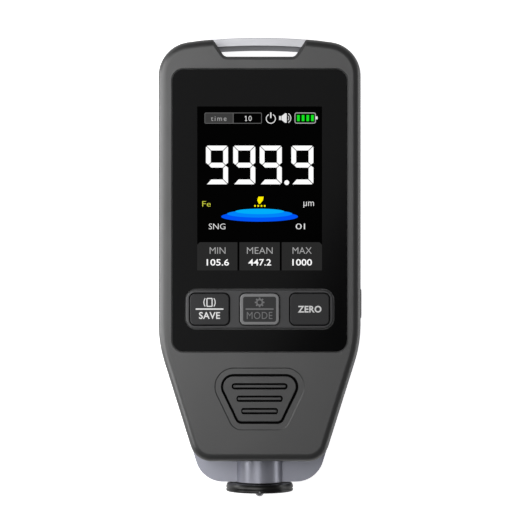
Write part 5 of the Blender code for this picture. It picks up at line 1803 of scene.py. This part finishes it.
# %% Prints on keys
INK_Z = KEY_HIGH.z + 0.005 * MM
SIGN_Y = 1.72
WORD_Y = -1.55
RULE_Y = 0.05
RULE_WIDTH = 0.36


def ink(name, colour):
    """Printed ink, with a slightly uneven cover."""
    sheet = Finish(name)
    tone = sheet.mix(sheet.noise(0.3 * MM), shade(colour, 0.94), colour)
    return sheet.surface(Base_Color=tone, Roughness=0.5, Specular_IOR_Level=0.3)


def on_key(key, outlines):
    """A print from outlines in millimetres round a key's middle."""
    mid = middle(key)
    moved = [[(mid.x + x * MM, KEY_Y + y * MM) for x, y in points] for points in outlines]
    return flat_mesh("print", moved, INK_Z)


def key_word(key, text, height, width, y, weight):
    """A word on a key, in millimetres."""
    centre = (middle(key).x, KEY_Y + y * MM)
    return lettering(text, centre, height * MM, width * MM, INK_Z, weight, 1.05)


def line_outline(width):
    """The line between a key's sign and its word."""
    return rounded(slab(width / 2, RULE_Y - RULE_WIDTH / 2, RULE_Y + RULE_WIDTH / 2, 0.1))


def gear_outline(teeth, root, tip):
    """A gear's outline with flat-topped teeth."""
    points = []
    for number in range(teeth):
        start = math.tau * number / teeth + math.pi / 2
        for share, radius in ((-0.32, root), (-0.20, tip), (0.20, tip), (0.32, root)):
            angle = start + share * math.tau / teeth
            points.append((radius * math.cos(angle), SIGN_Y + radius * math.sin(angle)))
    return points


KEY_WHITE = ink("key_white", (0.92, 0.92, 0.92))
KEY_DIM = ink("key_dim", (0.20, 0.20, 0.205))
print("inks:", KEY_WHITE.name, KEY_DIM.name)

# %% Key legends
PHONE = [rounded(slab(0.78, 0.6, 2.84, 0.3)), rounded(slab(0.50, 0.86, 2.58, 0.1))]
SHAKE_X = 0.33
SHAKES = [
    band((-SHAKE_X, SIGN_Y), 1.62, 1.86, -36, 36, 16),
    band((SHAKE_X, SIGN_Y), 1.62, 1.86, 144, 216, 16),
]
GEAR = [gear_outline(8, 0.88, 1.22), oval((0, SIGN_Y), 0.52, 0.52, 32)]

save_print = [on_key("save_key", PHONE)]
save_print += [on_key("save_key", [outline]) for outline in SHAKES + [line_outline(6.95)]]
save_print.append(key_word("save_key", "SAVE", 1.76, 5.30, WORD_Y, 0.02))
gather("save_legend", save_print, KEY_WHITE, "save_key")

mode_print = [on_key("mode_key", GEAR), on_key("mode_key", [line_outline(7.0)])]
mode_print.append(key_word("mode_key", "MODE", 1.8, 6.4, WORD_Y, 0.0))
gather("mode_legend", mode_print, KEY_DIM, "mode_key")

zero_print = [key_word("zero_key", "ZERO", 1.72, 5.90, 0.02, 0.03)]
gather("zero_legend", zero_print, KEY_WHITE, "zero_key")

# %% [markdown]
# ## Inner pieces
# The rest keeps its engineering shape and gets a finish. These pieces show only when the
# battery door is open or the case is off. The board is green lacquer over copper tracks, the
# coil is wound wire, and each cell wears a plain two-colour wrap with its plus end marked.


# %% Board and coil finishes
def board_finish():
    """Green lacquer over tracks that run in two directions."""
    sheet = Finish("board_lacquer")
    brick = {"Vector": sheet.where(), "Scale": 400.0, "Mortar Size": 0.02, "Bias": 0.0}
    tracks = sheet.wire("ShaderNodeTexBrick", None, brick, "Fac")
    return sheet.surface(
        Base_Color=sheet.mix(tracks, (0.012, 0.12, 0.045), (0.03, 0.22, 0.09)),
        Roughness=0.32,
        Coat_Weight=0.3,
        Normal=sheet.bump(tracks, 0.01 * MM),
    )


def winding_finish():
    """Enamelled wire wound round the probe's axis."""
    sheet = Finish("copper_winding")
    along = sheet.position()[1] * (math.tau / (0.12 * MM))
    height = 0.5 + 0.5 * along.maths("SINE", along)
    return sheet.surface(
        Base_Color=sheet.mix(height, (0.20, 0.07, 0.02), (0.62, 0.27, 0.12)),
        Roughness=0.35,
        Metallic=0.9,
        Normal=sheet.bump(height, 0.05 * MM),
    )


BOARD = board_finish()
WINDING = winding_finish()
print("finishes:", BOARD.name, WINDING.name)


# %% Cell finish
def cell_finish(name, node, plus_is_high):
    """A dark wrap with a copper-coloured band at the cell's plus end, and bare ends."""
    low, high = corners(node)
    length = high.y - low.y
    edge = 0.012 * length
    sheet = Finish(name)
    along = sheet.position()[1]
    from_plus = (high.y - along) if plus_is_high else (along - low.y)
    in_band = from_plus < 0.26 * length
    bare = (from_plus < 0.02 * length + edge) + (from_plus > length - edge)
    wrap = sheet.mix(in_band, (0.018, 0.022, 0.03), (0.45, 0.19, 0.06))
    return sheet.surface(
        Base_Color=sheet.mix(bare, wrap, (0.6, 0.6, 0.61)),
        Roughness=0.28 + 0.05 * sheet.noise(4 * MM),
        Metallic=0.25 + 0.7 * bare,
        Coat_Weight=0.3,
    )


RIGHT_CELL = cell_finish("cell_wrap_right", "battery_1", True)
LEFT_CELL = cell_finish("cell_wrap_left", "battery_2", False)
print("cells:", RIGHT_CELL.name, LEFT_CELL.name)

# %% Finishes for the inner pieces
PLUNGERS = ("save_key_plunger", "mode_key_plunger", "zero_key_plunger", "power_plunger")
SWITCHES = ("save_key_switch", "mode_key_switch", "zero_key_switch", "power_switch")
SPRINGS = ("battery_spring_1", "battery_spring_2", "probe_spring")
CONTACTS = ("contact_bridge", "contact_plus", "contact_minus")
INNER_FINISHES = {
    WHITE_PLASTIC: ("backlight_tray", *PLUNGERS),
    SWITCH_BLACK: ("buzzer", *SWITCHES),
    STEEL: ("probe_guide", *SPRINGS, *CONTACTS),
    BOARD: ("main_board",),
    WINDING: ("probe_coil",),
    SCREEN_BLACK: ("lcd_panel",),
    RIGHT_CELL: ("battery_1",),
    LEFT_CELL: ("battery_2",),
}
for inner_finish, inner_nodes in INNER_FINISHES.items():
    for inner_node in inner_nodes:
        for slot in frame["nodes"][inner_node].material_slots:
            slot.material = inner_finish
print("inner nodes:", sum(len(nodes) for nodes in INNER_FINISHES.values()))

# %% [markdown]
# ## Studio
# The gauge lies on a white sweep. A large soft lamp hangs high on its left, so the face darkens
# towards the right. A narrow lamp close above the left edge puts the bright line on that fillet,
# and two weak ones stand low on each side for the walls. The floor and the world show as white
# to the camera, but they light the gauge only weakly, so its dark plastic stays dark.


# %% Floor and world
def floor_finish():
    """Pale paper that looks white to the camera wherever light falls on it."""
    sheet = Finish("white_sweep")
    rays = sheet.node("ShaderNodeLightPath")
    camera_ray, through_ray, glossy_ray = [
        Wire(sheet, rays.outputs[f"Is {kind} Ray"]) for kind in ("Camera", "Transmission", "Glossy")
    ]
    seen = camera_ray + through_ray + glossy_ray * 0.35
    paper = sheet.wire("ShaderNodeBsdfDiffuse", None, {"Color": (0.80, 0.80, 0.80)})
    lift = sheet.wire("ShaderNodeEmission", None, {"Color": (1, 1, 1), "Strength": seen * 0.93})
    return sheet.shown_by(sheet.wire("ShaderNodeAddShader", None, {0: paper, 1: lift}))


def white_world(lighting):
    """A world that lights weakly and that the camera sees as white."""
    world = bpy.data.worlds.new("studio")
    world.use_nodes = True
    sheet = Sheet(world.node_tree)
    camera_ray = sheet.wire("ShaderNodeLightPath", output="Is Camera Ray")
    strength = camera_ray * (1.0 - lighting) + lighting
    sky = sheet.wire("ShaderNodeBackground", None, {"Color": (1, 1, 1), "Strength": strength})
    sheet.node("ShaderNodeOutputWorld", None, {"Surface": sky})
    return world


floor = prism("floor", slab(3.0, -3.0, 3.0), -0.02, -0.0001)
paint(floor, floor_finish())
bpy.context.scene.world = white_world(0.14)
print("floor:", [round(side, 2) for side in floor.dimensions], "m")

# %% Lamps
LAMPS = {  # place, aim, size and watts
    "edge_lamp": ((-0.048, 0.006, 0.039), (0, 0.006, 0.024), (0.128, 0.02), 0.028),
    "high_lamp": ((-0.172, 0.085, 0.49), (0, 0, 0.02), (0.32, 0.47), 1.30),
    "left_wall_lamp": ((-0.09, 0.015, 0.014), (0, 0.01, 0.014), (0.09, 0.02), 0.033),
    "right_wall_lamp": ((0.09, -0.01, 0.014), (0, -0.01, 0.010), (0.16, 0.02), 0.023),
}


def lamp(name, place, aim, size, watts):
    """A soft oblong lamp that looks at a point."""
    data = bpy.data.lights.new(name, "AREA")
    data.shape = "RECTANGLE"
    data.size, data.size_y = size
    data.energy = watts
    made = new_object(name, data)
    made.location = place
    made.visible_camera = False
    made.rotation_euler = (Vector(aim) - Vector(place)).to_track_quat("-Z", "Y").to_euler()


for lamp_name, values in LAMPS.items():
    lamp(lamp_name, *values)
print("lamps:", len(LAMPS))
